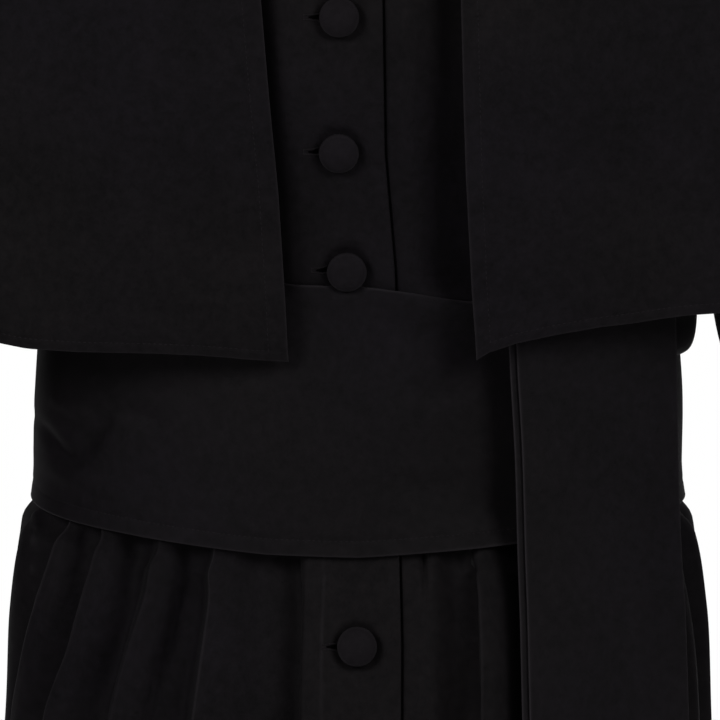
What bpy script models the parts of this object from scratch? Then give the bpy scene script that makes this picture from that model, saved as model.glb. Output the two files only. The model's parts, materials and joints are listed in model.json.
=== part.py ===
# A long buttoned cassock with a shoulder cape and a band sash, worn and hollow.
# Metres, +Z up. The front faces -Y and the wearer's left is +X.
# The origin lies between the shoulders, level with the neck seam at the sides.
# Angles go round the body in degrees: 0 at the centre front, +90 at the wearer's
# left side, 180 at the centre back and -90 at the wearer's right side.

import math

import bpy
import numpy as np
from mathutils import Vector

CLOTH = 0.0016
SEAM_HALF_GAP = 0.0003
RIDGE_HALF_GAP = 0.0006
LAYER_GAP = 0.0009

OVERLAP = 0.022
UNDERLAP = 0.018
UNDERLAP_RAMP = 0.014

BUTTON_RADIUS = 0.010
BUTTON_DOME = 0.0045
BUTTON_SHANK_RADIUS = 0.0025
BUTTON_SHANK = 0.0030
BUTTON_STEPS = 10
BUTTON_PITCH = 0.065
BODICE_BUTTON_HEIGHTS = (-0.0860, -0.1445, -0.2070, -0.2747, -0.3350)
FIRST_SKIRT_BUTTON = -0.5235
SKIRT_BUTTON_COUNT = 13

SHOULDER_ROW = 3
ARMPIT_ROW = 7
WAIST_ROW = 11
HEM_ROW = 20
FRONT_ARMHOLE_SCOOP = 32.0
BACK_ARMHOLE_SCOOP = 28.0
RING_DIP_POWER = 1.5

COLLAR_HEIGHT = 0.042
COLLAR_BASE = 0.997
COLLAR_SEAT = 0.0012
COLLAR_LEAN = 0.035
COLLAR_FRONT_GAP_DEGREES = 7.0

SASH_LIFT = 0.0026
SASH_BULGE = 0.0022
SASH_MIDDLE = -0.4280
SASH_FLARE = 0.0008

FALL_LAYER_SHIFT = 0.0030

SKIRT_FOLD_TOP = -0.470
SKIRT_FOLD_LOW = -0.570
SKIRT_HEM = -1.370

# Sections of the body of the cassock, from the neck seam (row 0) to the hem.
BODY_COLUMNS = (
    "front_z",
    "side_z",
    "back_z",
    "half_width",
    "front_depth",
    "back_depth",
    "squareness",
    "fold_depth",
)
BODY_ROWS = (
    (-0.0700, 0.0000, 0.0100, 0.0700, 0.0600, 0.0600, 2.00, 0.0),
    (-0.0760, -0.0170, 0.0020, 0.1100, 0.0660, 0.0720, 2.05, 0.0),
    (-0.0840, -0.0340, -0.0090, 0.1500, 0.0740, 0.0840, 2.10, 0.0),
    (-0.0920, -0.0480, -0.0250, 0.1900, 0.0820, 0.0960, 2.20, 0.0),
    (-0.1070, -0.0680, -0.0550, 0.1850, 0.0900, 0.1100, 2.30, 0.0),
    (-0.1280, -0.1050, -0.0950, 0.1760, 0.1020, 0.1190, 2.40, 0.0),
    (-0.1550, -0.1550, -0.1450, 0.1700, 0.1150, 0.1210, 2.40, 0.0),
    (-0.1950, -0.2080, -0.1950, 0.1690, 0.1220, 0.1190, 2.35, 0.0),
    (-0.2450, -0.2550, -0.2450, 0.1660, 0.1230, 0.1120, 2.30, 0.0),
    (-0.3000, -0.3050, -0.2970, 0.1630, 0.1160, 0.1020, 2.25, 0.0),
    (-0.3600, -0.3570, -0.3520, 0.1587, 0.1080, 0.0940, 2.20, 0.0),
    (-0.4120, -0.4050, -0.4000, 0.1600, 0.1075, 0.0920, 2.15, 0.0),
    (-0.4740, -0.4580, -0.4560, 0.1607, 0.1085, 0.0940, 2.15, 0.0040),
    (-0.4940, -0.4770, -0.4750, 0.1726, 0.1135, 0.0990, 2.15, 0.0075),
    (-0.5320, -0.5150, -0.5150, 0.1778, 0.1195, 0.1080, 2.15, 0.0110),
    (-0.6020, -0.5880, -0.5880, 0.1810, 0.1280, 0.1250, 2.10, 0.0150),
    (-0.7220, -0.7120, -0.7120, 0.1960, 0.1425, 0.1435, 2.10, 0.0190),
    (-0.8800, -0.8750, -0.8750, 0.2250, 0.1640, 0.1660, 2.10, 0.0230),
    (-1.0500, -1.0500, -1.0500, 0.2550, 0.1890, 0.1930, 2.05, 0.0260),
    (-1.2200, -1.2200, -1.2200, 0.2820, 0.2130, 0.2200, 2.05, 0.0290),
    (-1.3700, -1.3700, -1.3700, 0.3050, 0.2330, 0.2420, 2.00, 0.0310),
)

# Skirt folds by the angle of each crest under the sash, 0.1 m lower and at the hem.
# Each hollow lies just before its crest and is steeper on the crest's side.
FOLD_COLUMNS = ("top", "low", "hem", "sharp", "top_depth", "hem_depth")
FOLD_ROWS = (
    (-170.0, -171.0, -172.0, 0.3, 0.8, 0.8),
    (-156.0, -158.0, -159.0, 0.6, 1.0, 1.0),
    (-142.0, -144.0, -146.0, 0.4, 1.0, 1.1),
    (-128.0, -131.0, -132.0, 0.8, 1.0, 1.0),
    (-114.0, -117.0, -118.0, 0.4, 1.0, 1.1),
    (-100.0, -103.0, -104.0, 0.6, 1.0, 1.0),
    (-80.0, -88.0, -90.0, 0.7, 1.0, 1.0),
    (-61.6, -75.2, -77.0, 1.0, 0.7, 1.0),
    (-50.5, -60.8, -63.0, 1.0, 1.0, 1.1),
    (-36.4, -41.0, -45.0, 0.4, 1.0, 1.0),
    (-24.3, -25.4, -29.0, 1.0, 1.0, 1.1),
    (-7.5, -8.0, -11.0, 0.2, 0.7, 0.8),
    (10.0, 10.0, 12.0, 0.5, 0.0, 0.0),
    (19.0, 18.7, 24.0, 1.0, 0.7, 1.0),
    (36.0, 38.0, 41.0, 0.6, 1.0, 1.1),
    (52.0, 57.0, 60.0, 0.8, 1.0, 1.0),
    (66.0, 73.0, 76.0, 0.4, 0.9, 1.1),
    (80.0, 85.0, 88.0, 0.8, 1.0, 1.0),
    (100.0, 104.0, 105.0, 0.5, 1.0, 1.0),
    (114.0, 117.0, 118.0, 0.8, 1.0, 1.1),
    (128.0, 131.0, 132.0, 0.4, 1.0, 1.0),
    (142.0, 144.0, 146.0, 0.7, 1.0, 1.1),
    (156.0, 158.0, 159.0, 0.4, 1.0, 1.0),
    (170.0, 171.0, 172.0, 0.6, 1.0, 1.0),
)
FOLD_STATIONS = (0.0, 0.30, 0.55, 0.76, 0.90)
RIGHT_SIDE_FOLD = 5
LEFT_SIDE_FOLD = 17
CENTRE_FOLD = 11

# Sections of the shoulder cape, from its neck seam to its hem.
CAPE_COLUMNS = BODY_COLUMNS[:7]
CAPE_ROWS = (
    (-0.0655, 0.0045, 0.0145, 0.0712, 0.0612, 0.0612, 2.00),
    (-0.0800, -0.0120, -0.0010, 0.1180, 0.0800, 0.0850, 2.10),
    (-0.1050, -0.0310, -0.0190, 0.1700, 0.1000, 0.1060, 2.20),
    (-0.1420, -0.0560, -0.0500, 0.2160, 0.1200, 0.1270, 2.25),
    (-0.1880, -0.0950, -0.1000, 0.2510, 0.1340, 0.1410, 2.25),
    (-0.2400, -0.1500, -0.1700, 0.2760, 0.1390, 0.1500, 2.25),
    (-0.2900, -0.2200, -0.2400, 0.3000, 0.1370, 0.1520, 2.20),
    (-0.3400, -0.3000, -0.3100, 0.3200, 0.1320, 0.1500, 2.20),
    (-0.3800, -0.3600, -0.3680, 0.3330, 0.1280, 0.1500, 2.20),
)
CAPE_HEM_ROW = 8
CAPE_COLUMN_POWER = 1.3

# Height of the cape's hem at each angle, on the wearer's right and left.
CAPE_HEM_COLUMNS = ("angle", "right_z", "left_z")
CAPE_HEM_ROWS = (
    (0.0, -0.3825, -0.3810),
    (5.0, -0.3815, -0.3808),
    (8.0, -0.3796, -0.3806),
    (8.8, -0.3790, -0.3795),
    (9.7, -0.3783, -0.3757),
    (12.0, -0.3771, -0.3708),
    (15.6, -0.3762, -0.3659),
    (19.0, -0.3759, -0.3622),
    (22.8, -0.3757, -0.3606),
    (27.6, -0.3742, -0.3574),
    (34.0, -0.3680, -0.3550),
    (50.0, -0.3640, -0.3520),
    (90.0, -0.3590, -0.3505),
    (135.0, -0.3640, -0.3605),
    (180.0, -0.3680, -0.3680),
)

# Front edges of the cape, as their sideways place at each height.
CAPE_EDGE_COLUMNS = ("z", "right_x", "left_x")
CAPE_EDGE_ROWS = (
    (-0.0600, -0.0450, 0.0450),
    (-0.1500, -0.0512, 0.0500),
    (-0.1985, -0.0482, 0.0515),
    (-0.2460, -0.0443, 0.0529),
    (-0.2940, -0.0398, 0.0546),
    (-0.3430, -0.0368, 0.0572),
    (-0.3810, -0.0348, 0.0600),
)

# Soft flutes of the cape, full height at the hem and gone by the shoulder.
FLUTE_COLUMNS = ("angle", "width", "height")
FLUTE_ROWS = (
    (-172.0, 7.0, 0.010),
    (-150.0, 8.0, 0.014),
    (-128.0, 8.0, 0.012),
    (-108.0, 7.0, 0.008),
    (-52.0, 8.0, 0.009),
    (-33.0, 6.0, 0.003),
    (-5.0, 9.0, -0.004),
    (6.0, 5.0, 0.004),
    (19.0, 3.6, 0.004),
    (31.0, 4.0, 0.004),
    (55.0, 8.0, 0.009),
    (108.0, 7.0, 0.009),
    (130.0, 8.0, 0.013),
    (151.0, 8.0, 0.013),
    (172.0, 7.0, 0.011),
)

# Edges of the sash band round the body.
SASH_COLUMNS = ("angle", "top_z", "bottom_z")
SASH_ROWS = (
    (-180.0, -0.3300, -0.4600),
    (-90.0, -0.3330, -0.4620),
    (-45.0, -0.3385, -0.4710),
    (-15.0, -0.3415, -0.4787),
    (0.0, -0.3425, -0.4799),
    (20.0, -0.3515, -0.4757),
    (45.0, -0.3540, -0.4695),
    (90.0, -0.3480, -0.4620),
    (135.0, -0.3340, -0.4605),
    (180.0, -0.3300, -0.4600),
)

# Outer surface of the sash's upper fall, from its top to its plain hem.
FALL_COLUMNS = ("z", "left_x", "right_x", "left_y", "right_y")
FALL_ROWS = (
    (-0.3500, 0.0785, 0.1600, -0.1105, -0.0785),
    (-0.3850, 0.0800, 0.1605, -0.1115, -0.0785),
    (-0.4300, 0.0823, 0.1612, -0.1120, -0.0785),
    (-0.4800, 0.0838, 0.1631, -0.1140, -0.0800),
    (-0.5200, 0.0851, 0.1653, -0.1165, -0.0830),
    (-0.6000, 0.0869, 0.1672, -0.1230, -0.0900),
    (-0.7200, 0.0890, 0.1690, -0.1360, -0.1035),
    (-0.8800, 0.0908, 0.1712, -0.1585, -0.1265),
    (-1.0500, 0.0920, 0.1730, -0.1840, -0.1520),
)
FALL_BELLY = 0.0025

# Knot of the sash, as a bundle that lies along the band.
KNOT_COLUMNS = ("angle", "half_height", "thickness")
KNOT_ROWS = (
    (37.0, 0.0060, 0.0030),
    (41.0, 0.0150, 0.0075),
    (49.0, 0.0205, 0.0131),
    (59.0, 0.0225, 0.0186),
    (69.0, 0.0225, 0.0162),
    (79.0, 0.0210, 0.0120),
    (88.0, 0.0165, 0.0068),
    (93.0, 0.0060, 0.0028),
)
KNOT_HEIGHT = -0.3620
KNOT_SIDES = 12

# Rings of a sleeve, by their outer and inner points beside the body.
SLEEVE_COLUMNS = ("outer_x", "outer_z", "inner_x", "inner_z", "front", "back", "centre_y")
SLEEVE_ROWS = (
    (0.1905, -0.0485, 0.1700, -0.2080, 0.0590, 0.0650, 0.000),
    (0.2220, -0.0745, 0.1755, -0.2190, 0.0600, 0.0640, 0.001),
    (0.2460, -0.1120, 0.1780, -0.2370, 0.0600, 0.0620, 0.001),
    (0.2650, -0.1600, 0.1800, -0.2600, 0.0600, 0.0600, 0.001),
    (0.2800, -0.2150, 0.1815, -0.2880, 0.0585, 0.0590, 0.002),
    (0.2920, -0.2720, 0.1822, -0.3180, 0.0570, 0.0580, 0.004),
    (0.3020, -0.3300, 0.1825, -0.3580, 0.0560, 0.0570, 0.004),
    (0.3110, -0.3950, 0.1890, -0.4050, 0.0540, 0.0540, 0.000),
    (0.3180, -0.4600, 0.2030, -0.4600, 0.0510, 0.0510, -0.008),
    (0.3250, -0.5250, 0.2190, -0.5200, 0.0480, 0.0480, -0.018),
    (0.3310, -0.5850, 0.2350, -0.5760, 0.0460, 0.0460, -0.028),
    (0.3350, -0.6300, 0.2440, -0.6190, 0.0450, 0.0450, -0.036),
)
SLEEVE_FRONT_SEAM = 120.0
SLEEVE_BACK_SEAM = 275.0
SLEEVE_HALF_GAP = 0.0004
SLEEVE_EDGE_SHARE = 0.02
SLEEVE_BLEND_ROWS = 2.0
SLEEVE_SEAM_OUT = 0.0011
SLEEVE_SEAM_SHRINK = 0.994

# The line of the buttons, as its sideways place at each height.
FRONT_COLUMNS = ("z", "button_x")
FRONT_ROWS = (
    (-1.3700, -0.0005),
    (-0.5235, -0.0005),
    (-0.3360, -0.0055),
    (-0.2765, -0.0095),
    (-0.0700, -0.0090),
)

CLOTH_COLOUR = (0.0085, 0.0078, 0.0084, 1.0)
SASH_COLOUR = (0.0090, 0.0082, 0.0090, 1.0)
BUTTON_COLOUR = (0.0100, 0.0092, 0.0098, 1.0)


def column_arrays(names, rows):
    """Each named column of a table as an array."""
    return {name: np.array([row[i] for row in rows]) for i, name in enumerate(names)}


BODY = column_arrays(BODY_COLUMNS, BODY_ROWS)
FOLDS = column_arrays(FOLD_COLUMNS, FOLD_ROWS)
CAPE = column_arrays(CAPE_COLUMNS, CAPE_ROWS)
CAPE_HEM = column_arrays(CAPE_HEM_COLUMNS, CAPE_HEM_ROWS)
CAPE_EDGE = column_arrays(CAPE_EDGE_COLUMNS, CAPE_EDGE_ROWS)
FLUTES = column_arrays(FLUTE_COLUMNS, FLUTE_ROWS)
SASH = column_arrays(SASH_COLUMNS, SASH_ROWS)
FALL = column_arrays(FALL_COLUMNS, FALL_ROWS)
KNOT = column_arrays(KNOT_COLUMNS, KNOT_ROWS)
SLEEVE = column_arrays(SLEEVE_COLUMNS, SLEEVE_ROWS)
FRONT = column_arrays(FRONT_COLUMNS, FRONT_ROWS)


def smooth_step(x):
    """0 below 0, 1 above 1, and an even rise between."""
    x = min(max(x, 0.0), 1.0)
    return x * x * (3.0 - 2.0 * x)


def along(values, t):
    """A smooth curve through a column, read at row number t."""
    i = min(max(int(t), 0), len(values) - 2)
    f = t - i
    b = values[i]
    c = values[i + 1]
    a = values[i - 1] if i > 0 else 2.0 * b - c
    d = values[i + 2] if i + 2 < len(values) else 2.0 * c - b
    slope = c - a
    bend = 2.0 * a - 5.0 * b + 4.0 * c - d
    twist = 3.0 * b - a - 3.0 * c + d
    return b + 0.5 * f * (slope + f * (bend + f * twist))


def ring_point(table, t, degrees):
    """A point of a rounded section: a superellipse whose height differs front, side and back."""
    angle = math.radians(degrees)
    power = 2.0 / along(table["squareness"], t)
    across = math.copysign(abs(math.sin(angle)) ** power, math.sin(angle))
    ahead = abs(math.cos(angle))
    facing_front = math.cos(angle) > 0.0
    depth = along(table["front_depth" if facing_front else "back_depth"], t)
    end_z = along(table["front_z" if facing_front else "back_z"], t)
    side_z = along(table["side_z"], t)
    x = along(table["half_width"], t) * across
    y = depth * ahead**power * (-1.0 if facing_front else 1.0)
    z = side_z + (end_z - side_z) * ahead**RING_DIP_POWER
    return Vector((x, y, z))


def angle_of_x(table, t, x):
    """The angle at which the front half of a section passes a sideways place."""
    share = min(abs(x) / along(table["half_width"], t), 1.0)
    turn = math.degrees(math.asin(share ** (along(table["squareness"], t) / 2.0)))
    return math.copysign(turn, x)


def outward(surface, t, degrees):
    """The outward normal of a surface that is given by row number and angle."""
    t_low = max(t - 0.02, 0.0)
    down = surface(t_low + 0.04, degrees) - surface(t_low, degrees)
    round_it = surface(t, degrees + 0.5) - surface(t, degrees - 0.5)
    return down.cross(round_it).normalized()


def body_ring(t, degrees):
    return ring_point(BODY, t, degrees)


def crest_angles(z):
    """The angle of every fold's crest at a height, in order round the body."""
    upper = smooth_step((SKIRT_FOLD_TOP - z) / (SKIRT_FOLD_TOP - SKIRT_FOLD_LOW))
    lower = min(max((SKIRT_FOLD_LOW - z) / (SKIRT_FOLD_LOW - SKIRT_HEM), 0.0), 1.0)
    top, low, hem = FOLDS["top"], FOLDS["low"], FOLDS["hem"]
    return top + (low - top) * upper + (hem - low) * lower


def fold_share(degrees, z):
    """How far the cloth lies below its crests, as a share of the fold depth."""
    crests = crest_angles(z)
    crests = np.append(crests, crests[0] + 360.0)
    if degrees < crests[0]:
        degrees += 360.0
    i = int(np.searchsorted(crests, degrees, side="right")) - 1
    i = min(max(i, 0), len(crests) - 2)
    following = (i + 1) % len(FOLD_ROWS)
    run_out = min(max((SKIRT_FOLD_LOW - z) / (SKIRT_FOLD_LOW - SKIRT_HEM), 0.0), 1.0)
    fade = smooth_step((SKIRT_FOLD_TOP - z) / (SKIRT_FOLD_TOP - SKIRT_FOLD_LOW))
    fade = 0.25 * fade + 0.75 * run_out
    sharp = FOLDS["sharp"][following] * (1.0 - 0.75 * run_out)
    top_depth = FOLDS["top_depth"][following]
    depth = top_depth + (FOLDS["hem_depth"][following] - top_depth) * fade
    hollow = 0.62 + 0.19 * sharp
    f = (degrees - crests[i]) / (crests[i + 1] - crests[i])
    if f < hollow:
        return depth * (0.5 - 0.5 * math.cos(math.pi * (f / hollow) ** 1.2))
    s = (1.0 - f) / (1.0 - hollow)
    soft = 0.5 - 0.5 * math.cos(math.pi * s)
    return depth * (soft + (math.sin(0.5 * math.pi * s) - soft) * sharp)


def body_point(t, degrees, lift=0.0):
    """A point of the cassock's outer face, moved out by lift."""
    base = body_ring(t, degrees)
    drop = 0.0
    if t > WAIST_ROW:
        drop = along(BODY["fold_depth"], t) * fold_share(degrees, base.z)
    return base + outward(body_ring, t, degrees) * (lift - drop)


def body_row_at(z, degrees):
    """The row number at which the body passes a height at one angle, below the armpit."""
    low, high = float(ARMPIT_ROW), float(HEM_ROW)
    for _ in range(40):
        middle = 0.5 * (low + high)
        if body_ring(middle, degrees).z > z:
            low = middle
        else:
            high = middle
    return low


def front_row_at(z):
    """The row number at which the centre front passes a height."""
    low, high = 0.0, float(HEM_ROW)
    for _ in range(40):
        middle = 0.5 * (low + high)
        if body_ring(middle, 0.0).z > z:
            low = middle
        else:
            high = middle
    return low


def button_x(z):
    return float(np.interp(z, FRONT["z"], FRONT["button_x"]))


def armhole_angle(t, scoop):
    """How far round from the centre a front or back panel reaches."""
    if t <= SHOULDER_ROW or t >= ARMPIT_ROW:
        return 90.0
    f = (t - SHOULDER_ROW) / (ARMPIT_ROW - SHOULDER_ROW)
    return 90.0 - scoop * math.sin(math.pi * f) ** 0.8


def set_back(table, t, degrees, distance):
    """The angle that lies a short distance round a section from another, either way."""
    start = ring_point(table, t, degrees)
    low, high = 0.0, math.copysign(4.0, distance)
    for _ in range(24):
        middle = 0.5 * (low + high)
        if (ring_point(table, t, degrees + middle) - start).length < abs(distance):
            low = middle
        else:
            high = middle
    return degrees + low


def seam_gap(t):
    """Half a seam's gap: wider along the shoulder, where the walls meet in a ridge."""
    return RIDGE_HALF_GAP if t <= SHOULDER_ROW + 0.5 else 1.4 * SEAM_HALF_GAP


def under_lift(t, degrees, edge_x):
    """How far the under layer lies inside the outer one near the closure."""
    x = body_ring(t, degrees).x
    ramp = smooth_step((x - edge_x - 0.001) / UNDERLAP_RAMP)
    return -(CLOTH + LAYER_GAP) * (1.0 - ramp)


def new_material(name, colour, roughness):
    material = bpy.data.materials.new(name)
    material.use_nodes = True
    shader = material.node_tree.nodes["Principled BSDF"]
    shader.inputs["Base Color"].default_value = colour
    shader.inputs["Roughness"].default_value = roughness
    shader.inputs["Metallic"].default_value = 0.0
    return material


def add_object(name, mesh, collection, colour, roughness):
    mesh.shade_smooth()
    mesh.set_sharp_from_angle(angle=math.radians(40.0))
    mesh.materials.append(new_material(name + "_material", colour, roughness))
    item = bpy.data.objects.new(name, mesh)
    collection.objects.link(item)
    return item


def cloth_panel(name, rows, collection, colour=CLOTH_COLOUR, closed=False, flip=False):
    """A cloth wall: an open surface through rows of points, thickened inwards."""
    width = len(rows[0])
    points = [tuple(point) for row in rows for point in row]
    faces = []
    for r in range(len(rows) - 1):
        for c in range(width if closed else width - 1):
            n = (c + 1) % width
            quad = (r * width + c, (r + 1) * width + c, (r + 1) * width + n, r * width + n)
            faces.append(quad[::-1] if flip else quad)
    mesh = bpy.data.meshes.new(name)
    mesh.from_pydata(points, [], faces)
    item = add_object(name, mesh, collection, colour, 0.75)
    wall = item.modifiers.new("Wall", "SOLIDIFY")
    wall.thickness = CLOTH
    wall.offset = -1.0
    wall.use_even_offset = True
    return item


def bodice_rows():
    upper = [0.0, 0.5, 1.0, 2.0, 3.0]
    return upper + [3.5 + 0.5 * i for i in range(13)] + [10.0, 11.0]


def build_bodice(collection):
    steps = 9
    right, left, back_right, back_left = [], [], [], []
    for t in bodice_rows():
        z = body_ring(t, 0.0).z
        middle = button_x(z)
        side = set_back(BODY, t, armhole_angle(t, FRONT_ARMHOLE_SCOOP), -seam_gap(t))
        edge = angle_of_x(BODY, t, middle + OVERLAP)
        under_edge = angle_of_x(BODY, t, middle - UNDERLAP)
        edge_x = middle + OVERLAP
        button_angle = angle_of_x(BODY, t, middle)
        row = [-side + (button_angle + side) * i / (steps - 1) for i in range(steps)] + [edge]
        right.append([body_point(t, a) for a in row])
        row = []
        for share in (0.0, 0.5, 1.0):
            row.append(under_edge + (edge - under_edge) * share)
        ramp_end = angle_of_x(BODY, t, edge_x + 0.001 + UNDERLAP_RAMP)
        row.append(0.5 * (edge + ramp_end))
        for i in range(steps - 2):
            row.append(ramp_end + (side - ramp_end) * i / (steps - 3))
        left.append([body_point(t, a, under_lift(t, a, edge_x)) for a in row])
        reach = set_back(BODY, t, 180.0 - armhole_angle(t, BACK_ARMHOLE_SCOOP), seam_gap(t))
        centre = set_back(BODY, t, 180.0, -SEAM_HALF_GAP)
        row = [reach + (centre - reach) * i / 7 for i in range(8)]
        back_left.append([body_point(t, a) for a in row])
        back_right.append([body_point(t, 360.0 - a) for a in row[::-1]])
    cloth_panel("bodice_front_right", right, collection)
    cloth_panel("bodice_front_left", left, collection)
    cloth_panel("bodice_back_right", back_right, collection)
    cloth_panel("bodice_back_left", back_left, collection)


def skirt_rows():
    return range(WAIST_ROW, HEM_ROW + 1)


def stations_between(anchors, stations):
    """Angles at the same shares of every stretch between anchors, and the last anchor."""
    angles = []
    for start, end in zip(anchors[:-1], anchors[1:]):
        angles += [start + (end - start) * f for f in stations]
    return angles + [anchors[-1]]


def row_crests(t):
    """The angle of every fold's crest on one row of the skirt."""
    angles = crest_angles(body_ring(t, 0.0).z)
    for _ in range(4):
        angles = np.array([crest_angles(body_ring(t, a).z)[k] for k, a in enumerate(angles)])
    return angles


def fold_part(crests, fold, share):
    """An angle between one crest and the next, as a share of the way."""
    return crests[fold] + share * (crests[fold + 1] - crests[fold])


def build_skirt(collection):
    right, left, back = [], [], []
    for t in skirt_rows():
        crests = row_crests(t)
        middle = button_x(body_ring(t, 0.0).z)
        edge_x = middle + OVERLAP
        edge = angle_of_x(BODY, t, edge_x)
        under_edge = angle_of_x(BODY, t, middle - UNDERLAP)
        ramp_end = angle_of_x(BODY, t, edge_x + 0.001 + UNDERLAP_RAMP)
        right_seam = fold_part(crests, RIGHT_SIDE_FOLD, 0.5)
        left_seam = fold_part(crests, LEFT_SIDE_FOLD, 0.5)

        row = [set_back(BODY, t, right_seam, SEAM_HALF_GAP)]
        row += [fold_part(crests, RIGHT_SIDE_FOLD, share) for share in (0.76, 0.90)]
        row += stations_between(crests[RIGHT_SIDE_FOLD + 1 : CENTRE_FOLD + 1], FOLD_STATIONS)
        row += [0.5 * (row[-1] + edge), edge]
        right.append(place_row(t, row, None))

        knife = crests[CENTRE_FOLD + 2]
        row = [under_edge, 0.5 * (under_edge + edge), edge, 0.5 * (edge + ramp_end), ramp_end]
        row += [ramp_end + (knife - ramp_end) * share for share in (0.30, 0.60)]
        row += stations_between(crests[CENTRE_FOLD + 2 : LEFT_SIDE_FOLD + 1], FOLD_STATIONS)
        row.append(fold_part(crests, LEFT_SIDE_FOLD, 0.25))
        row.append(set_back(BODY, t, left_seam, -SEAM_HALF_GAP))
        left.append(place_row(t, row, edge_x))

        behind = list(crests[LEFT_SIDE_FOLD + 1 :])
        behind += [crest + 360.0 for crest in crests[: RIGHT_SIDE_FOLD + 1]]
        row = [set_back(BODY, t, left_seam, SEAM_HALF_GAP)]
        row += [fold_part(crests, LEFT_SIDE_FOLD, share) for share in (0.76, 0.90)]
        row += stations_between(behind, FOLD_STATIONS)
        row.append(fold_part(crests, RIGHT_SIDE_FOLD, 0.25) + 360.0)
        row.append(set_back(BODY, t, right_seam, -SEAM_HALF_GAP) + 360.0)
        back.append(place_row(t, row, None))
    cloth_panel("skirt_front_right", right, collection)
    cloth_panel("skirt_front_left", left, collection)
    cloth_panel("skirt_back", back, collection)


def place_row(t, angles, edge_x):
    """Points of one row of the skirt, let in under the closure where edge_x is given."""
    row = []
    for degrees in angles:
        lift = 0.0 if edge_x is None else under_lift(t, degrees, edge_x)
        point = body_point(t, degrees, lift)
        if t == WAIST_ROW:
            point.z -= 2.0 * SEAM_HALF_GAP
        row.append(point)
    return row


def build_collar(collection):
    rows = []
    for share in (0.0, 0.35, 1.0):
        row = []
        for i in range(29):
            turn = COLLAR_FRONT_GAP_DEGREES + (360.0 - 2.0 * COLLAR_FRONT_GAP_DEGREES) * i / 28
            point = body_ring(0.0, turn)
            lean = COLLAR_BASE - COLLAR_LEAN * share
            rise = COLLAR_SEAT + COLLAR_HEIGHT * share
            row.append(Vector((point.x * lean, point.y * lean, point.z + rise)))
        rows.append(row)
    cloth_panel("collar", rows[::-1], collection)


def cape_hem_height(degrees):
    turn = (degrees + 180.0) % 360.0 - 180.0
    column = "left_z" if turn > 0.0 else "right_z"
    return float(np.interp(abs(turn), CAPE_HEM["angle"], CAPE_HEM[column]))


def cape_base(t, degrees):
    point = ring_point(CAPE, t, degrees)
    settle = smooth_step((t - 3.0) / (CAPE_HEM_ROW - 3.0)) ** 2
    point.z += (cape_hem_height(degrees) - ring_point(CAPE, CAPE_HEM_ROW, degrees).z) * settle
    return point


def cape_point(t, degrees):
    turn = (degrees + 180.0) % 360.0 - 180.0
    away = np.abs((turn - FLUTES["angle"] + 180.0) % 360.0 - 180.0)
    swell = float(np.sum(FLUTES["height"] * np.exp(-((away / FLUTES["width"]) ** 2))))
    growth = smooth_step((t - 2.0) / (CAPE_HEM_ROW - 2.0))
    return cape_base(t, degrees) + outward(cape_base, t, degrees) * swell * growth


def cape_edge_angle(t, column):
    """The angle of a front edge of the cape on one of its rows."""
    z = ring_point(CAPE, t, 10.0).z
    x = float(np.interp(-z, -CAPE_EDGE["z"], CAPE_EDGE[column]))
    return angle_of_x(CAPE, t, x)


def build_cape(collection):
    right, left, back = [], [], []
    steps = 14
    for i in range(12):
        t = CAPE_HEM_ROW * (i / 11.0) ** 0.9
        edge_right = cape_edge_angle(t, "right_x")
        edge_left = cape_edge_angle(t, "left_x")
        gap = RIDGE_HALF_GAP if t < 4.0 else SEAM_HALF_GAP
        side = set_back(CAPE, t, 90.0, -gap)
        shares = [(k / steps) ** CAPE_COLUMN_POWER for k in range(steps + 1)]
        row = [cape_point(t, edge_right - (edge_right + side) * share) for share in shares]
        right.append(row[::-1])
        left.append([cape_point(t, edge_left + (side - edge_left) * share) for share in shares])
        start = set_back(CAPE, t, 90.0, gap)
        back.append([cape_point(t, start + (360.0 - 2.0 * start) * k / 26) for k in range(27)])
    cloth_panel("cape_front_right", right, collection)
    cloth_panel("cape_front_left", left, collection)
    cloth_panel("cape_back", back, collection)


def armhole_point(turn):
    """A point of the left armhole: 0 at the shoulder, 90 at the front, 180 under the arm."""
    t = 0.5 * (SHOULDER_ROW + ARMPIT_ROW)
    t -= 0.5 * (ARMPIT_ROW - SHOULDER_ROW) * math.cos(math.radians(turn))
    if math.sin(math.radians(turn)) >= 0.0:
        return body_ring(t, armhole_angle(t, FRONT_ARMHOLE_SCOOP))
    return body_ring(t, 180.0 - armhole_angle(t, BACK_ARMHOLE_SCOOP))


def sleeve_ring(t, turn):
    """A point of the left sleeve's rings, with the same turn as the armhole."""
    outer = Vector((along(SLEEVE["outer_x"], t), 0.0, along(SLEEVE["outer_z"], t)))
    inner = Vector((along(SLEEVE["inner_x"], t), 0.0, along(SLEEVE["inner_z"], t)))
    sine = math.sin(math.radians(turn))
    depth = along(SLEEVE["front" if sine > 0.0 else "back"], t)
    centre = 0.5 * (outer + inner)
    centre.y = along(SLEEVE["centre_y"], t)
    reach = 0.5 * (outer - inner) * math.cos(math.radians(turn))
    return centre + reach + Vector((0.0, -depth * sine, 0.0))


def sleeve_point(t, turn):
    point = sleeve_ring(t, turn)
    if t >= SLEEVE_BLEND_ROWS:
        return point
    centre = 0.5 * (sleeve_ring(0.0, 0.0) + sleeve_ring(0.0, 180.0))
    seam = centre + (armhole_point(turn) - centre) * SLEEVE_SEAM_SHRINK
    seam.x += SLEEVE_SEAM_OUT
    blend = (1.0 - t / SLEEVE_BLEND_ROWS) ** 2
    return point + (seam - sleeve_ring(0.0, turn)) * blend


def sleeve_seam(t, turn, side):
    """A sleeve seam's turn on one ring, less half the seam's gap."""
    degree = (sleeve_point(t, turn + 1.0) - sleeve_point(t, turn)).length
    return turn + side * SLEEVE_HALF_GAP / degree


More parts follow.
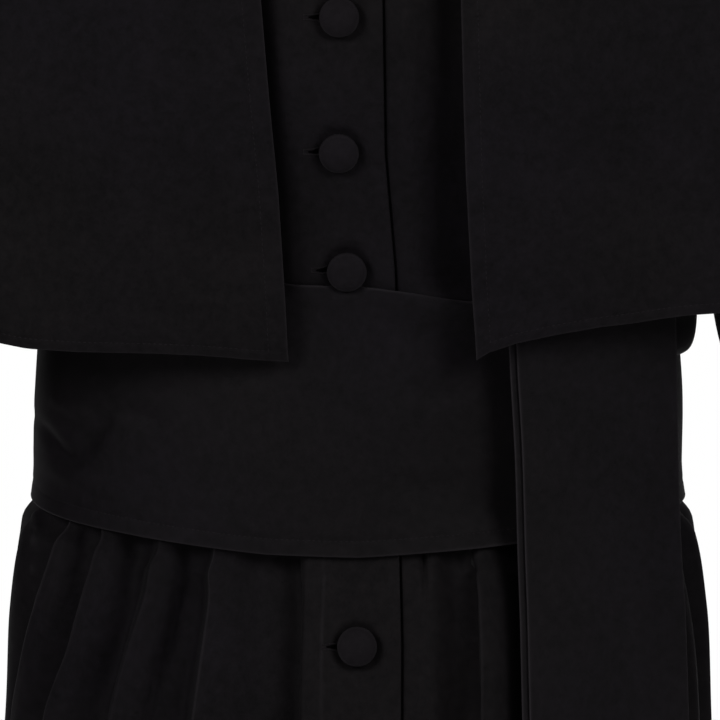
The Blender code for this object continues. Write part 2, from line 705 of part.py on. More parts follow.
def build_sleeves(collection):
    last = len(SLEEVE_ROWS) - 1
    heights = [0.0, 0.25, 0.6] + [float(t) for t in range(1, last + 1)]
    parts = (
        ("sleeve_top", SLEEVE_BACK_SEAM - 360.0, SLEEVE_FRONT_SEAM, 10),
        ("sleeve_under", SLEEVE_FRONT_SEAM, SLEEVE_BACK_SEAM, 7),
    )
    for name, first, final, steps in parts:
        middle = 1.0 - 2.0 * SLEEVE_EDGE_SHARE
        shares = [SLEEVE_EDGE_SHARE + middle * i / steps for i in range(steps + 1)]
        rows = []
        for t in heights:
            start = sleeve_seam(t, first, 1.0)
            end = sleeve_seam(t, final, -1.0)
            turns = [start + (end - start) * share for share in [0.0] + shares + [1.0]]
            rows.append([sleeve_point(t, turn) for turn in turns])
        cloth_panel(name + "_left", rows, collection, flip=True)
        mirrored = [[Vector((-p.x, p.y, p.z)) for p in row] for row in rows]
        cloth_panel(name + "_right", mirrored, collection)


def sash_height(degrees, share):
    turn = (degrees + 180.0) % 360.0 - 180.0
    top = float(np.interp(turn, SASH["angle"], SASH["top_z"]))
    bottom = float(np.interp(turn, SASH["angle"], SASH["bottom_z"]))
    return top + (bottom - top) * share


def sash_point(degrees, z, lift=0.0):
    """A point of the band's outer face, or of what lies on it."""
    t = body_row_at(z, degrees)
    base = body_ring(t, degrees)
    middle = math.exp(-(((z - SASH_MIDDLE) / 0.045) ** 2))
    lift += SASH_LIFT + SASH_BULGE * middle
    lift += SASH_FLARE * smooth_step((-0.440 - z) / 0.020)
    return base + outward(body_ring, t, degrees) * lift


def build_band(collection):
    columns = 48
    rows = []
    for share in (0.0, 0.2, 0.4, 0.6, 0.8, 1.0):
        row = []
        for i in range(columns):
            degrees = -180.0 + 360.0 * i / columns
            row.append(sash_point(degrees, sash_height(degrees, share)))
        rows.append(row)
    cloth_panel("sash_band", rows, collection, colour=SASH_COLOUR, closed=True)


def build_knot(collection):
    """A closed bundle with blunt ends, whose back follows the band."""
    points, faces = [], []
    count = 2 * len(KNOT_ROWS) - 1
    for k in range(count):
        t = 0.5 * k
        degrees = along(KNOT["angle"], t)
        high = along(KNOT["half_height"], t)
        thick = along(KNOT["thickness"], t)
        for j in range(KNOT_SIDES):
            turn = 2.0 * math.pi * j / KNOT_SIDES
            z = KNOT_HEIGHT + high * math.sin(turn)
            lift = LAYER_GAP + 0.5 * thick * (1.0 + math.cos(turn))
            points.append(tuple(sash_point(degrees, z, lift)))
    for k in range(count - 1):
        for j in range(KNOT_SIDES):
            n = (j + 1) % KNOT_SIDES
            a, b = k * KNOT_SIDES, (k + 1) * KNOT_SIDES
            faces.append((a + j, b + j, b + n, a + n))
    faces.append(tuple(range(KNOT_SIDES)))
    faces.append(tuple(range((count - 1) * KNOT_SIDES, count * KNOT_SIDES))[::-1])
    mesh = bpy.data.meshes.new("sash_knot")
    mesh.from_pydata(points, [], faces)
    add_object("sash_knot", mesh, collection, SASH_COLOUR, 0.7)


def fall_point(t, share, behind, shift):
    """A point of a hanging fall, behind the upper one's outer face."""
    left = Vector((along(FALL["left_x"], t), along(FALL["left_y"], t), 0.0))
    right = Vector((along(FALL["right_x"], t), along(FALL["right_y"], t), 0.0))
    across = right - left
    facing = Vector((across.y, -across.x, 0.0)).normalized()
    point = left + across * share + facing * (FALL_BELLY * 4.0 * share * (1.0 - share) - behind)
    point -= across.normalized() * shift
    point.z = along(FALL["z"], t)
    return point


def build_falls(collection):
    layers = (
        ("sash_fall_upper", 0.0, 0.0),
        ("sash_fall_under", CLOTH + LAYER_GAP, FALL_LAYER_SHIFT),
    )
    last = len(FALL_ROWS) - 1
    for name, behind, shift in layers:
        rows = []
        for t in range(last + 1):
            rows.append([fall_point(t, i / 5.0, behind, shift) for i in range(6)])
        cloth_panel(name, rows, collection, colour=SASH_COLOUR)


def button_heights():
    skirt = [FIRST_SKIRT_BUTTON - BUTTON_PITCH * i for i in range(SKIRT_BUTTON_COUNT)]
    return list(BODICE_BUTTON_HEIGHTS) + skirt


def button_mesh():
    """The profile of a domed button and its shank, down the outer side."""
    dome = BUTTON_DOME
    base = BUTTON_RADIUS
    profile = (
        (0.0, dome),
        (0.50 * base, 0.88 * dome),
        (0.86 * base, 0.52 * dome),
        (base, 0.0),
        (BUTTON_SHANK_RADIUS, 0.0),
        (BUTTON_SHANK_RADIUS, -BUTTON_SHANK),
        (0.0, -BUTTON_SHANK),
    )
    mesh = bpy.data.meshes.new("button")
    edges = [(i, i + 1) for i in range(len(profile) - 1)]
    mesh.from_pydata([(x, 0.0, z) for x, z in profile], edges, [])
    return mesh


def build_buttons(collection):
    for number, z in enumerate(button_heights(), start=1):
        t = front_row_at(z)
        degrees = angle_of_x(BODY, t, button_x(z))
        normal = outward(body_ring, t, degrees)
        lift = BUTTON_SHANK + SEAM_HALF_GAP * 1.5
        place = body_point(t, degrees) + normal * lift
        item = add_object(f"button_{number:02d}", button_mesh(), collection, BUTTON_COLOUR, 0.6)
        item.location = place
        item.rotation_mode = "QUATERNION"
        item.rotation_quaternion = normal.to_track_quat("Z", "Y")
        turned = item.modifiers.new("Turned", "SCREW")
        turned.angle = 2.0 * math.pi
        turned.steps = BUTTON_STEPS
        turned.render_steps = BUTTON_STEPS
        turned.use_merge_vertices = True
        turned.merge_threshold = 0.00001


def main():
    for item in list(bpy.data.objects):
        bpy.data.objects.remove(item, do_unlink=True)
    collection = bpy.data.collections.new("cassock")
    bpy.context.scene.collection.children.link(collection)
    build_bodice(collection)
    build_skirt(collection)
    build_collar(collection)
    build_sleeves(collection)
    build_cape(collection)
    build_band(collection)
    build_knot(collection)
    build_falls(collection)
    build_buttons(collection)


main()
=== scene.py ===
import json
import math

import bpy
import numpy as np
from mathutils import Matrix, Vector

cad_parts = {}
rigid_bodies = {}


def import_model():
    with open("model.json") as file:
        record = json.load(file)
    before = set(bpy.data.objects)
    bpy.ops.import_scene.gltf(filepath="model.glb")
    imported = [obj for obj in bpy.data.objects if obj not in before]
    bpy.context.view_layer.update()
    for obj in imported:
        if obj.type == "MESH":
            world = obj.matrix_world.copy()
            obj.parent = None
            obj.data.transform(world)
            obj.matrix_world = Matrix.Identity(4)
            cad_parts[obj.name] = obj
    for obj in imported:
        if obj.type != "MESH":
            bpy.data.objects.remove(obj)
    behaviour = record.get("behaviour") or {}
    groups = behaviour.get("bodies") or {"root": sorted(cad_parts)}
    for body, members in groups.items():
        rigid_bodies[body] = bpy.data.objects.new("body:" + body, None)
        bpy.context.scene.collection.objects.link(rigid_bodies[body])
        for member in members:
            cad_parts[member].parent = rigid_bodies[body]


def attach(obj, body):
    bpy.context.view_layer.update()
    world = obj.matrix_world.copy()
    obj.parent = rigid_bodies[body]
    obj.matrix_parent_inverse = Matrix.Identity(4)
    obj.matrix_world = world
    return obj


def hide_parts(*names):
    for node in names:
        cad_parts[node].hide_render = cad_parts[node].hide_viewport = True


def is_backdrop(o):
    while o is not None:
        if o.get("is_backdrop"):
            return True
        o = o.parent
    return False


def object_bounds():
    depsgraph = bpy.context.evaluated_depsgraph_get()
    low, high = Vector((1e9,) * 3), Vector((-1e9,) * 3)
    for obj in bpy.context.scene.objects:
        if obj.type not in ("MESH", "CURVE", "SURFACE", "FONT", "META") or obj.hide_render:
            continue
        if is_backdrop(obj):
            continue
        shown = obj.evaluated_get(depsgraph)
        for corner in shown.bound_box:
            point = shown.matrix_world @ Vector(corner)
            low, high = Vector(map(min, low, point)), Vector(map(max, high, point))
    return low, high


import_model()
cadLow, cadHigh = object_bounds()

# Metres where nothing else is said. Angles go round the body in degrees: 0 at the centre front,
# 90 at the wearer's left side, 180 at the centre back, -90 at the wearer's right.


# Columns of numbers by name, with lengths in millimetres; a starred column isn't a length.
def table(names, *rows):
    columns = zip(names.split(), np.array(rows, float).T)
    return {name.strip("*"): c if "*" in name else c / 1000.0 for name, c in columns}


def put(name, data):
    thing = bpy.data.objects.new(name, data)
    bpy.context.scene.collection.objects.link(thing)
    return thing


def meshOf(name, places, edges, faces):
    mesh = bpy.data.meshes.new(name)
    mesh.from_pydata(places, edges, faces)
    return mesh


print("camera, light and floor")

view = {
    "elevation": 6.0,
    "distance": 8.0,
    "aim": (0.001, -0.11, -0.38),
    "fieldWidth": 0.36,
    "sensor": 36.0,
    "nearest": 0.1,
    "farthest": 200.0,
}


def setCamera():
    data = bpy.data.cameras.new("camera")
    data.sensor_width = view["sensor"]
    data.lens = view["sensor"] * view["distance"] / view["fieldWidth"]
    data.clip_start, data.clip_end = view["nearest"], view["farthest"]
    camera = put("camera", data)
    rise = math.radians(view["elevation"])
    away = Vector((0.0, -math.cos(rise), math.sin(rise))) * view["distance"]
    camera.location = Vector(view["aim"]) + away
    camera.rotation_euler = (math.radians(90.0 - view["elevation"]), 0.0, 0.0)
    bpy.context.scene.camera = camera


setCamera()

light = {
    "roomStrength": 0.33,
    "roomColour": (1.0, 0.98, 1.0, 1.0),
    "paperColour": (1.0, 1.0, 1.0, 1.0),  # shows behind the garment
    "lamps": (  # name, place, size, watts
        ("lampLeft", (-2.85, -3.2, 1.5), 1.8, 170.0),
        ("lampRight", (2.65, -3.3, 1.6), 2.0, 160.0),
        ("lampBehindLeft", (-3.4, 2.0, 0.3), 1.8, 55.0),
        ("lampBehindRight", (3.4, 2.0, 0.3), 1.8, 75.0),
    ),
    "lampAim": (0.0, 0.0, -0.4),
    "floorRadius": 5.0,
    "floorSides": 96,
    "floorDrop": 0.001,
    "floorColour": (0.80, 0.80, 0.80, 1.0),
}


def setLight():
    world = bpy.data.worlds.new("studio")
    world.use_nodes = True
    nodes, links = world.node_tree.nodes, world.node_tree.links
    room, paper = nodes["Background"], nodes.new("ShaderNodeBackground")
    room.inputs["Color"].default_value = light["roomColour"]
    room.inputs["Strength"].default_value = light["roomStrength"]
    paper.inputs["Color"].default_value = light["paperColour"]
    path, choice = nodes.new("ShaderNodeLightPath"), nodes.new("ShaderNodeMixShader")
    for i, socket in enumerate((path.outputs["Is Camera Ray"], room.outputs[0], paper.outputs[0])):
        links.new(socket, choice.inputs[i])
    links.new(choice.outputs[0], nodes["World Output"].inputs["Surface"])
    bpy.context.scene.world = world
    for name, place, size, watts in light["lamps"]:
        data = bpy.data.lights.new(name, "AREA")
        data.shape, data.size, data.energy = "DISK", size, watts
        lamp = put(name, data)
        lamp.location = place
        turn = (Vector(light["lampAim"]) - Vector(place)).to_track_quat("-Z", "Y")
        lamp.rotation_euler = turn.to_euler()
    bpy.context.scene.view_settings.view_transform = "Standard"


setLight()


# One socket of a tree of nodes, so that sums on it add their nodes.
class Socket:
    def __init__(self, owner, socket):
        self.owner, self.socket = owner, socket

    def also(self, output):  # another output of the same node
        return Socket(self.owner, self.socket.node.outputs[output])

    def maths(self, operation, *others):
        values = dict(enumerate((self, *others)))
        return self.owner.add("ShaderNodeMath", {"operation": operation}, values)

    def __add__(self, other):
        return self.maths("ADD", other)

    def __sub__(self, other):
        return self.maths("SUBTRACT", other)

    def __mul__(self, other):
        return self.maths("MULTIPLY", other)


# A tree of nodes that grows by what is added to it.
class Tree:
    def add(self, kind, settings=None, values=None, output=0):
        node = self.tree.nodes.new(kind)
        for key, value in (settings or {}).items():
            setattr(node, key, value)
        for key, value in (values or {}).items():
            self.plug(value, node.inputs[key])
        return Socket(self, node.outputs[output])

    def plug(self, value, socket):
        if isinstance(value, Socket):
            self.tree.links.new(value.socket, socket)
        else:
            socket.default_value = value


class Shader(Tree):
    def __init__(self, name):
        self.material = bpy.data.materials.new(name)
        self.material.use_nodes = True
        self.tree = self.material.node_tree

    def noise(self, place, scale, detail):
        values = {"Vector": place, "Scale": scale, "Detail": detail}
        return self.add("ShaderNodeTexNoise", None, values)

    def mix(self, factor, first, second):
        settings = {"data_type": "RGBA", "clamp_factor": True}
        return self.add("ShaderNodeMix", settings, {0: factor, 6: first, 7: second}, output=2)

    def finish(self, values):
        for key, value in values.items():
            self.plug(value, self.tree.nodes["Principled BSDF"].inputs[key])
        return self.material


print("materials")

clothLook = {
    "dark": (0.0014, 0.0012, 0.0014, 1.0),
    "pale": (0.0041, 0.0035, 0.0038, 1.0),
    "cool": (0.0039, 0.0032, 0.0043, 1.0),
    # painted highlight: the light tone mixed in along pressed edges, crest lines and button rims
    "worn": (0.0120, 0.0106, 0.0120, 1.0),
    "roughness": 0.72,
    "gloss": 0.03,
    "sheen": 0.012,
    "ribPitch": 0.00056,
    "ribDepth": 0.00005,
    "ribTone": 0.10,
    "bump": 0.7,
    "slub": (620.0, 2.0),  # noises: scale and detail
    "fleck": (200.0, 1.0),
    "cloud": (26.0, 3.0),
    "drift": (6.0, 1.0),
}
sashLook = {
    **clothLook,
    "pale": (0.0037, 0.0031, 0.0035, 1.0),
    "cool": (0.0036, 0.0029, 0.0040, 1.0),
    "roughness": 0.64,
    "gloss": 0.032,
    "ribPitch": 0.00048,
    "ribDepth": 0.00004,
    "ribTone": 0.06,
}
# The cassock cloth painted brighter for the domed buttons, a painted highlight.
buttonLookPaintedLight = {
    **clothLook,
    "dark": (0.0022, 0.0018, 0.0022, 1.0),
    "pale": (0.0048, 0.0040, 0.0048, 1.0),
    "cool": (0.0047, 0.0039, 0.0051, 1.0),
}


def weave(name, look, slant):
    shader = Shader(name)
    cloth = shader.add("ShaderNodeUVMap", {"uv_map": "cloth"})
    across = shader.add("ShaderNodeSeparateXYZ", None, {"Vector": cloth})
    down = across.also(1)
    # Painted highlight: the attribute read here lightens the base colour towards a pale tone and
    # lowers the roughness a little along pressed edges, crests and button rims.
    paintedShine = shader.add("ShaderNodeAttribute", {"attribute_name": "paintedShine"}, output=2)
    turn = 2.0 * math.pi / look["ribPitch"]
    rib = ((across * slant[0] + down * slant[1]) * turn).maths("SINE")
    thread = ((across * slant[1] - down * slant[0]) * (turn * 1.35)).maths("SINE")
    spot = shader.add("ShaderNodeTexCoord", output=3)
    slub, fleck, cloud, drift = (
        shader.noise(spot, *look[part]) for part in ("slub", "fleck", "cloud", "drift")
    )
    tone = slub * 0.7 + fleck * 0.8 + cloud * 1.0 + rib * look["ribTone"] - 0.75
    pale = shader.mix(drift * 4.0 - 1.5, look["pale"], look["cool"])
    colour = shader.mix(paintedShine, shader.mix(tone, look["dark"], pale), look["worn"])
    height = rib * 0.5 + thread * 0.25 + slub * 1.6 + fleck * 1.6
    values = {"Strength": look["bump"], "Distance": look["ribDepth"], "Height": height}
    return shader.finish(
        {
            "Base Color": colour,
            "Roughness": cloud * 0.16 + (look["roughness"] - 0.08) - paintedShine * 0.08,
            "Normal": shader.add("ShaderNodeBump", None, values),
            "Specular IOR Level": look["gloss"],
            "Sheen Weight": look["sheen"],
            "Sheen Roughness": 0.35,
        }
    )


def plain(name, colour, roughness, gloss):
    values = {"Base Color": colour, "Roughness": roughness, "Specular IOR Level": gloss}
    return Shader(name).finish(values)


woolCloth = weave("woolTwill", clothLook, (0.80, 0.60))
sashCloth = weave("sashTwill", sashLook, (0.64, 0.77))
floorPaint = plain("palePaint", light["floorColour"], 0.6, 0.2)


def makeFloor():
    sides, radius = light["floorSides"], light["floorRadius"]
    turns = [2.0 * math.pi * i / sides for i in range(sides)]
    height = cadLow.z - light["floorDrop"]
    ring = [(radius * math.cos(a), radius * math.sin(a), height) for a in turns]
    mesh = meshOf("floor", ring, [], [tuple(range(sides))])
    mesh.materials.append(floorPaint)
    put("floor", mesh)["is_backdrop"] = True


makeFloor()

print("forms of the body, the cape and the sleeves")

seam = {
    "cloth": 0.0016,
    "halfGap": 0.0003,  # at the waist and under the buttons
    "overlap": 0.0001,  # past the middle of a seam, on both sides
    "layerGap": 0.0009,  # between two layers of cloth
    "rim": (0.0, 0.00012, 0.0004, 0.0008, 0.0016),
}

bodyForm = table(
    "frontZ sideZ backZ halfWidth frontDepth backDepth squareness* foldDepth",
    (-70, 0, 10, 70, 60, 60, 2, 0),
    (-76, -17, 2, 110, 66, 72, 2.05, 0),
    (-84, -34, -9, 150, 74, 84, 2.1, 0),
    (-92, -48, -25, 190, 82, 96, 2.2, 0),
    (-107, -68, -55, 185, 90, 110, 2.3, 0),
    (-128, -105, -95, 176, 102, 119, 2.4, 0),
    (-155, -155, -145, 170, 115, 121, 2.4, 0),
    (-195, -208, -195, 169, 122, 119, 2.35, 0),
    (-245, -255, -245, 166, 123, 112, 2.3, 0),
    (-300, -305, -297, 163, 116, 102, 2.25, 0),
    (-360, -357, -352, 158.7, 108, 94, 2.2, 0),
    (-412, -405, -400, 160, 107.5, 92, 2.15, 0),
    (-474, -458, -456, 160.7, 108.5, 94, 2.15, 9.5),
    (-494, -477, -475, 172.6, 113.5, 99, 2.15, 13),
    (-532, -515, -515, 177.8, 119.5, 108, 2.15, 15.5),
    (-602, -588, -588, 181, 128, 125, 2.1, 17.5),
    (-722, -712, -712, 196, 142.5, 143.5, 2.1, 19),
    (-880, -875, -875, 225, 164, 166, 2.1, 23),
    (-1050, -1050, -1050, 255, 189, 193, 2.05, 26),
    (-1220, -1220, -1220, 282, 213, 220, 2.05, 29),
    (-1370, -1370, -1370, 305, 233, 242, 2, 31),
)
shoulderRow, armpitRow, waistRow, hemRow = 3, 7, 11, 20

# Every skirt fold by the angle of its crest under the sash, lower down and at the hem.
folds = table(
    "top* low* hem* sharp* topDepth* hemDepth*",
    (-170, -171, -172, 0.3, 0.8, 0.8),
    (-156, -158, -159, 0.6, 1, 1),
    (-142, -144, -146, 0.4, 1, 1.1),
    (-128, -131, -132, 0.8, 1, 1),
    (-114, -117, -118, 0.4, 1, 1.1),
    (-100, -103, -104, 0.6, 1, 1),
    (-80, -88, -90, 0.7, 1, 1),
    (-61.6, -75.2, -77, 1, 0.7, 1),
    (-50.5, -60.8, -63, 1, 1, 1.1),
    (-36.4, -41, -45, 0.4, 1, 1),
    (-24.3, -25.4, -29, 1, 1, 1.1),
    (-7.5, -8, -11, 0.2, 0.7, 0.8),
    (10, 10, 12, 0.5, 0, 0),
    (19, 18.7, 24, 1, 0.7, 1),
    (36, 38, 41, 0.6, 1, 1.1),
    (52, 57, 60, 0.8, 1, 1),
    (66, 73, 76, 0.4, 0.9, 1.1),
    (80, 85, 88, 0.8, 1, 1),
    (100, 104, 105, 0.5, 1, 1),
    (114, 117, 118, 0.8, 1, 1.1),
    (128, 131, 132, 0.4, 1, 1),
    (142, 144, 146, 0.7, 1, 1.1),
    (156, 158, 159, 0.4, 1, 1),
    (170, 171, 172, 0.6, 1, 1),
)
foldTop, foldLow, foldHem = -0.470, -0.570, -1.370
foldShape = {
    "early": 0.25,  # the share of a fold's change that comes before the run to the hem
    "blunting": 0.75,
    "hollow": 0.62,
    "sharpHollow": 0.11,
    "entry": 1.2,
}

# How far some front crests wander from that, in degrees, every 16 mm down from the sash.
driftTop, driftStep, driftFolds = -0.468, 0.016, (7, 8, 9, 10, 13)
crestDrift = (
    (-1.5, -1.5, -0.8, -0.9, -0.3),
    (0.3, 1.6, 0.5, -0.4, -0.3),
    (0.7, 2.5, 1.4, 0.8, -0.2),
    (0.6, 3.2, 1, 0.8, -0.1),
    (0.2, 3.5, 0.3, 0.5, 0),
    (-0.8, 1.6, -0.7, -0.1, 0.1),
    (-2.8, -0.8, -1.9, -0.9, 0.2),
    (-3.6, -1.6, -2, -1.2, 0.2),
    (-3.2, -1.5, -1.7, -1, 0.1),
    (-2.6, -1.2, -1.3, -0.8, 0),
    (-1.8, -0.8, -0.9, -0.5, 0),
    (-0.9, -0.4, -0.4, -0.2, 0),
    (0, 0, 0, 0, 0),
)

capeForm = table(
    "frontZ sideZ backZ halfWidth frontDepth backDepth squareness*",
    (-65.5, 4.5, 14.5, 71.2, 61.2, 61.2, 2),
    (-80, -12, -1, 118, 80, 85, 2.1),
    (-105, -31, -19, 170, 100, 106, 2.2),
    (-142, -56, -50, 216, 120, 127, 2.25),
    (-188, -95, -100, 251, 134, 141, 2.25),
    (-240, -150, -170, 276, 139, 150, 2.25),
    (-290, -220, -240, 300, 137, 152, 2.2),
    (-340, -300, -310, 320, 132, 150, 2.2),
    (-380, -360, -368, 333, 128, 150, 2.2),
)
capeHemRow = 8
capeHem = table(
    "angle* rightZ leftZ",
    (0, -382.5, -381),
    (5, -381.5, -380.8),
    (8, -379.6, -380.6),
    (8.8, -379, -379.5),
    (9.7, -378.3, -375.7),
    (12, -377.1, -370.8),
    (15.6, -376.2, -365.9),
    (19, -375.9, -362.2),
    (22.8, -375.7, -360.6),
    (27.6, -374.2, -357.4),
    (34, -368, -355),
    (50, -364, -352),
    (90, -359, -350.5),
    (135, -364, -360.5),
    (180, -368, -368),
)
capeEdge = table(
    "z rightX leftX",
    (-60, -45, 45),
    (-150, -51.2, 50),
    (-198.5, -48.2, 51.5),
    (-246, -44.3, 52.9),
    (-294, -39.8, 54.6),
    (-343, -36.8, 57.2),
    (-381, -34.8, 60),
)
flutes = table(
    "angle* width* height",
    (-172, 7, 10),
    (-150, 8, 14),
    (-128, 8, 12),
    (-108, 7, 8),
    (-52, 8, 9),
    (-33, 6, 3),
    (-5, 9, -4),
    (6, 5, 4),
    (19, 3.6, 4),
    (31, 4, 4),
    (55, 8, 9),
    (108, 7, 9),
    (130, 8, 13),
    (151, 8, 13),
    (172, 7, 11),
)


def smooth(x):
    x = np.clip(x, 0.0, 1.0)
    return x * x * (3.0 - 2.0 * x)


def ease(value, start, width):
    return smooth((value - start) / width)


def bell(value, width):
    return np.exp(-((value / width) ** 2))


def unit(v):
    return v / np.maximum(np.linalg.norm(v, axis=-1, keepdims=True), 1e-12)


def together(*values):
    return np.broadcast_arrays(*(np.asarray(v, float) for v in values))


def join(*columns):
    return np.concatenate(columns, axis=1)


def signed(degrees):
    return (degrees + 180.0) % 360.0 - 180.0


def along(values, t):  # a smooth curve through a column, read at row number t
    t = np.asarray(t, float)
    i = np.clip(t.astype(int), 0, len(values) - 2)
    f = t - i
    b, c = values[i], values[i + 1]
    a = np.where(i > 0, values[np.maximum(i - 1, 0)], 2.0 * b - c)
    d = np.where(i + 2 < len(values), values[np.minimum(i + 2, len(values) - 1)], 2.0 * c - b)
    slope, bend = c - a, 2.0 * a - 5.0 * b + 4.0 * c - d
    return b + 0.5 * f * (slope + f * (bend + f * (3.0 * b - a - 3.0 * c + d)))


def ringHeight(form, t, degrees):
    ahead = np.cos(np.radians(degrees))
    end = np.where(ahead > 0.0, along(form["frontZ"], t), along(form["backZ"], t))
    side = along(form["sideZ"], t)
    return side + (end - side) * np.abs(ahead) ** 1.5


def ringPoint(form, t, degrees):  # a rounded section whose height differs front, side and back
    t, degrees = together(t, degrees)
    angle = np.radians(degrees)
    power = 2.0 / along(form["squareness"], t)
    ahead = np.cos(angle)
    depth = np.where(ahead > 0.0, -along(form["frontDepth"], t), along(form["backDepth"], t))
    x = along(form["halfWidth"], t) * np.sign(np.sin(angle)) * np.abs(np.sin(angle)) ** power
    return np.stack([x, depth * np.abs(ahead) ** power, ringHeight(form, t, degrees)], axis=-1)


def angleOfX(form, t, x):
    share = np.minimum(np.abs(x) / along(form["halfWidth"], t), 1.0)
    return np.sign(x) * np.degrees(np.arcsin(share ** (along(form["squareness"], t) / 2.0)))


def outward(surface, t, degrees):
    low = np.maximum(np.asarray(t, float) - 0.02, 0.0)
    down = surface(low + 0.04, degrees) - surface(low, degrees)
    across = surface(t, degrees + 0.5) - surface(t, degrees - 0.5)
    return unit(np.cross(down, across))


def speed(surface, t, degrees):  # metres per degree round a surface
    step = surface(t, degrees + 0.25) - surface(t, degrees - 0.25)
    return np.linalg.norm(step, axis=-1) / 0.5


def lapped(surface, t, degrees, way, inside=0.0):  # a seam's angle moved on by the overlap
    return degrees + way * seam["overlap"] / speed(surface, t, degrees - way * inside)


def bodyRing(t, degrees):
    return ringPoint(bodyForm, t, degrees)


def foldRuns(z):  # the change just under the sash and the one from there to the hem, 0 to 1
    upper = smooth((foldTop - z) / (foldTop - foldLow))
    return upper, np.clip((foldLow - z) / (foldLow - foldHem), 0.0, 1.0)


def crestAngles(z):
    upper, lower = (run[..., None] for run in foldRuns(z))
    top, low, hem = folds["top"], folds["low"], folds["hem"]
    angles = top + (low - top) * upper + (hem - low) * lower
    row = np.clip((driftTop - z) / driftStep, 0.0, len(crestDrift) - 1.0)
    for fold, drift in zip(driftFolds, np.array(crestDrift).T):
        angles[..., fold] += along(drift, row)
    return angles


def foldShare(degrees, z):  # how far the cloth lies below its crests
    crests = crestAngles(z)
    count = crests.shape[-1]
    crests = np.concatenate([crests, crests[..., :1] + 360.0], axis=-1)
    degrees = (degrees - crests[..., 0]) % 360.0 + crests[..., 0]
    i = np.clip(np.sum(crests <= degrees[..., None], axis=-1) - 1, 0, count - 1)
    start, end = (np.take_along_axis(crests, k[..., None], -1)[..., 0] for k in (i, i + 1))
    after = (i + 1) % count
    upper, runOut = foldRuns(z)
    fade = foldShape["early"] * upper + (1.0 - foldShape["early"]) * runOut
    sharp = folds["sharp"][after] * (1.0 - foldShape["blunting"] * runOut)
    topDepth, hemDepth = folds["topDepth"][after], folds["hemDepth"][after]
    depth = topDepth + (hemDepth - topDepth) * fade
    hollow = foldShape["hollow"] + foldShape["sharpHollow"] * sharp
    f = np.clip((degrees - start) / (end - start), 0.0, 1.0)
    entry = np.minimum(f / hollow, 1.0) ** foldShape["entry"]
    gentle = 0.5 - 0.5 * np.cos(math.pi * entry)
    s = (1.0 - f) / (1.0 - hollow)
    soft = 0.5 - 0.5 * np.cos(math.pi * s)
    steep = soft + (np.sin(0.5 * math.pi * s) - soft) * sharp
    return depth * np.where(f < hollow, gentle, steep)


def bodyPoint(t, degrees, lift=0.0):
    t, degrees = together(t, degrees)
    base = bodyRing(t, degrees)
    drop = np.where(t > waistRow, along(bodyForm["foldDepth"], t), 0.0)
    drop = drop * foldShare(degrees, base[..., 2])
    return base + outward(bodyRing, t, degrees) * (lift - drop)[..., None]


def rowAt(form, z, degrees, low, high):  # the row number at which a form passes a height
    z, degrees = together(z, degrees)
    low, high = np.full(z.shape, float(low)), np.full(z.shape, float(high))
    for _ in range(32):
        middle = 0.5 * (low + high)
        above = ringHeight(form, middle, degrees) > z
        low, high = np.where(above, middle, low), np.where(above, high, middle)
    return low


frontLine = table(
    "z buttonX",
    (-1370, -0.5),
    (-523.5, -0.5),
    (-336, -5.5),
    (-276.5, -9.5),
    (-70, -9),
)
closure = {
    "underlap": 0.018,
    "start": 0.001,
    "ramp": 0.014,
    "closeFrom": 0.0015,  # the under layer's columns lie close from here to there
    "closeTo": 0.0040,
    "hiddenColumns": 16,
    "closeColumns": 15,
}
overlapLine = table("z reach", (-560, 22), (-420, 22.5), (-340, 24), (-200, 21.5))


def buttonX(z):
    return np.interp(z, frontLine["z"], frontLine["buttonX"])


def closureEdges(t):  # the angle of the under layer's edge, the outer one's, and its x
    z = ringHeight(bodyForm, t, 0.0)
    edgeX = buttonX(z) + np.interp(z, overlapLine["z"], overlapLine["reach"])
    underEdge = angleOfX(bodyForm, t, buttonX(z) - closure["underlap"])
    return underEdge, angleOfX(bodyForm, t, edgeX), edgeX


def underLift(t, degrees, edgeX):  # the under layer lies inside the outer one at the closure
    x = bodyRing(t, degrees)[..., 0]
    ramp = smooth((x - edgeX - closure["start"]) / closure["ramp"])
    return -(seam["cloth"] + seam["layerGap"]) * (1.0 - ramp)


button = {
    "radius": 0.010,
    "dome": 0.0045,
    "shank": 0.0030,
    "shankRadius": 0.0025,
    "underside": -0.16,
    "pitch": 0.065,
    "bodiceHeights": (-0.0860, -0.1445, -0.2070, -0.2747, -0.3350),
    "firstOnSkirt": -0.5235,
    "onSkirt": 13,
}

# How far the cloth sinks in beside the cape's front edges, beside the sash's falls, under
# every button and beside the overlap's edge. Pairs are the start and the width of a change.
press = {
    "besideRightEdge": 0.0060,
    "rightReach": 0.0060,
    "rightRamp": 0.012,
    "besideLeftEdge": 0.0100,
    "leftReach": 0.0300,
    "leftWiden": 0.014,
    "widenDown": (0.20, 0.13),
    "underCape": (0.02, 0.05),
    "capeFrom": (0.09, 0.05),
    "capeTo": (-0.351, 0.012),
    "besideFall": 0.0120,
    "fallReach": 0.0750,
    "fallEdge": 0.0815,
    "underFall": (0.088, 0.014),
    "fallFrom": (0.350, 0.02),
    "fallTo": (0.452, 0.03),
    "dimple": 0.0030,
    "dimpleRadius": 0.0088,
    "dimpleWall": 0.0046,
    "slot": 0.0020,
    "slotPlace": 0.0003,
    "slotWidth": 0.0005,
}


def buttonHeights():
    lower = [button["firstOnSkirt"] - button["pitch"] * i for i in range(button["onSkirt"])]
    return np.array(list(button["bodiceHeights"]) + lower)


def capeEdgeX(z, front):
    return np.interp(-z, -capeEdge["z"], capeEdge[front + "X"])


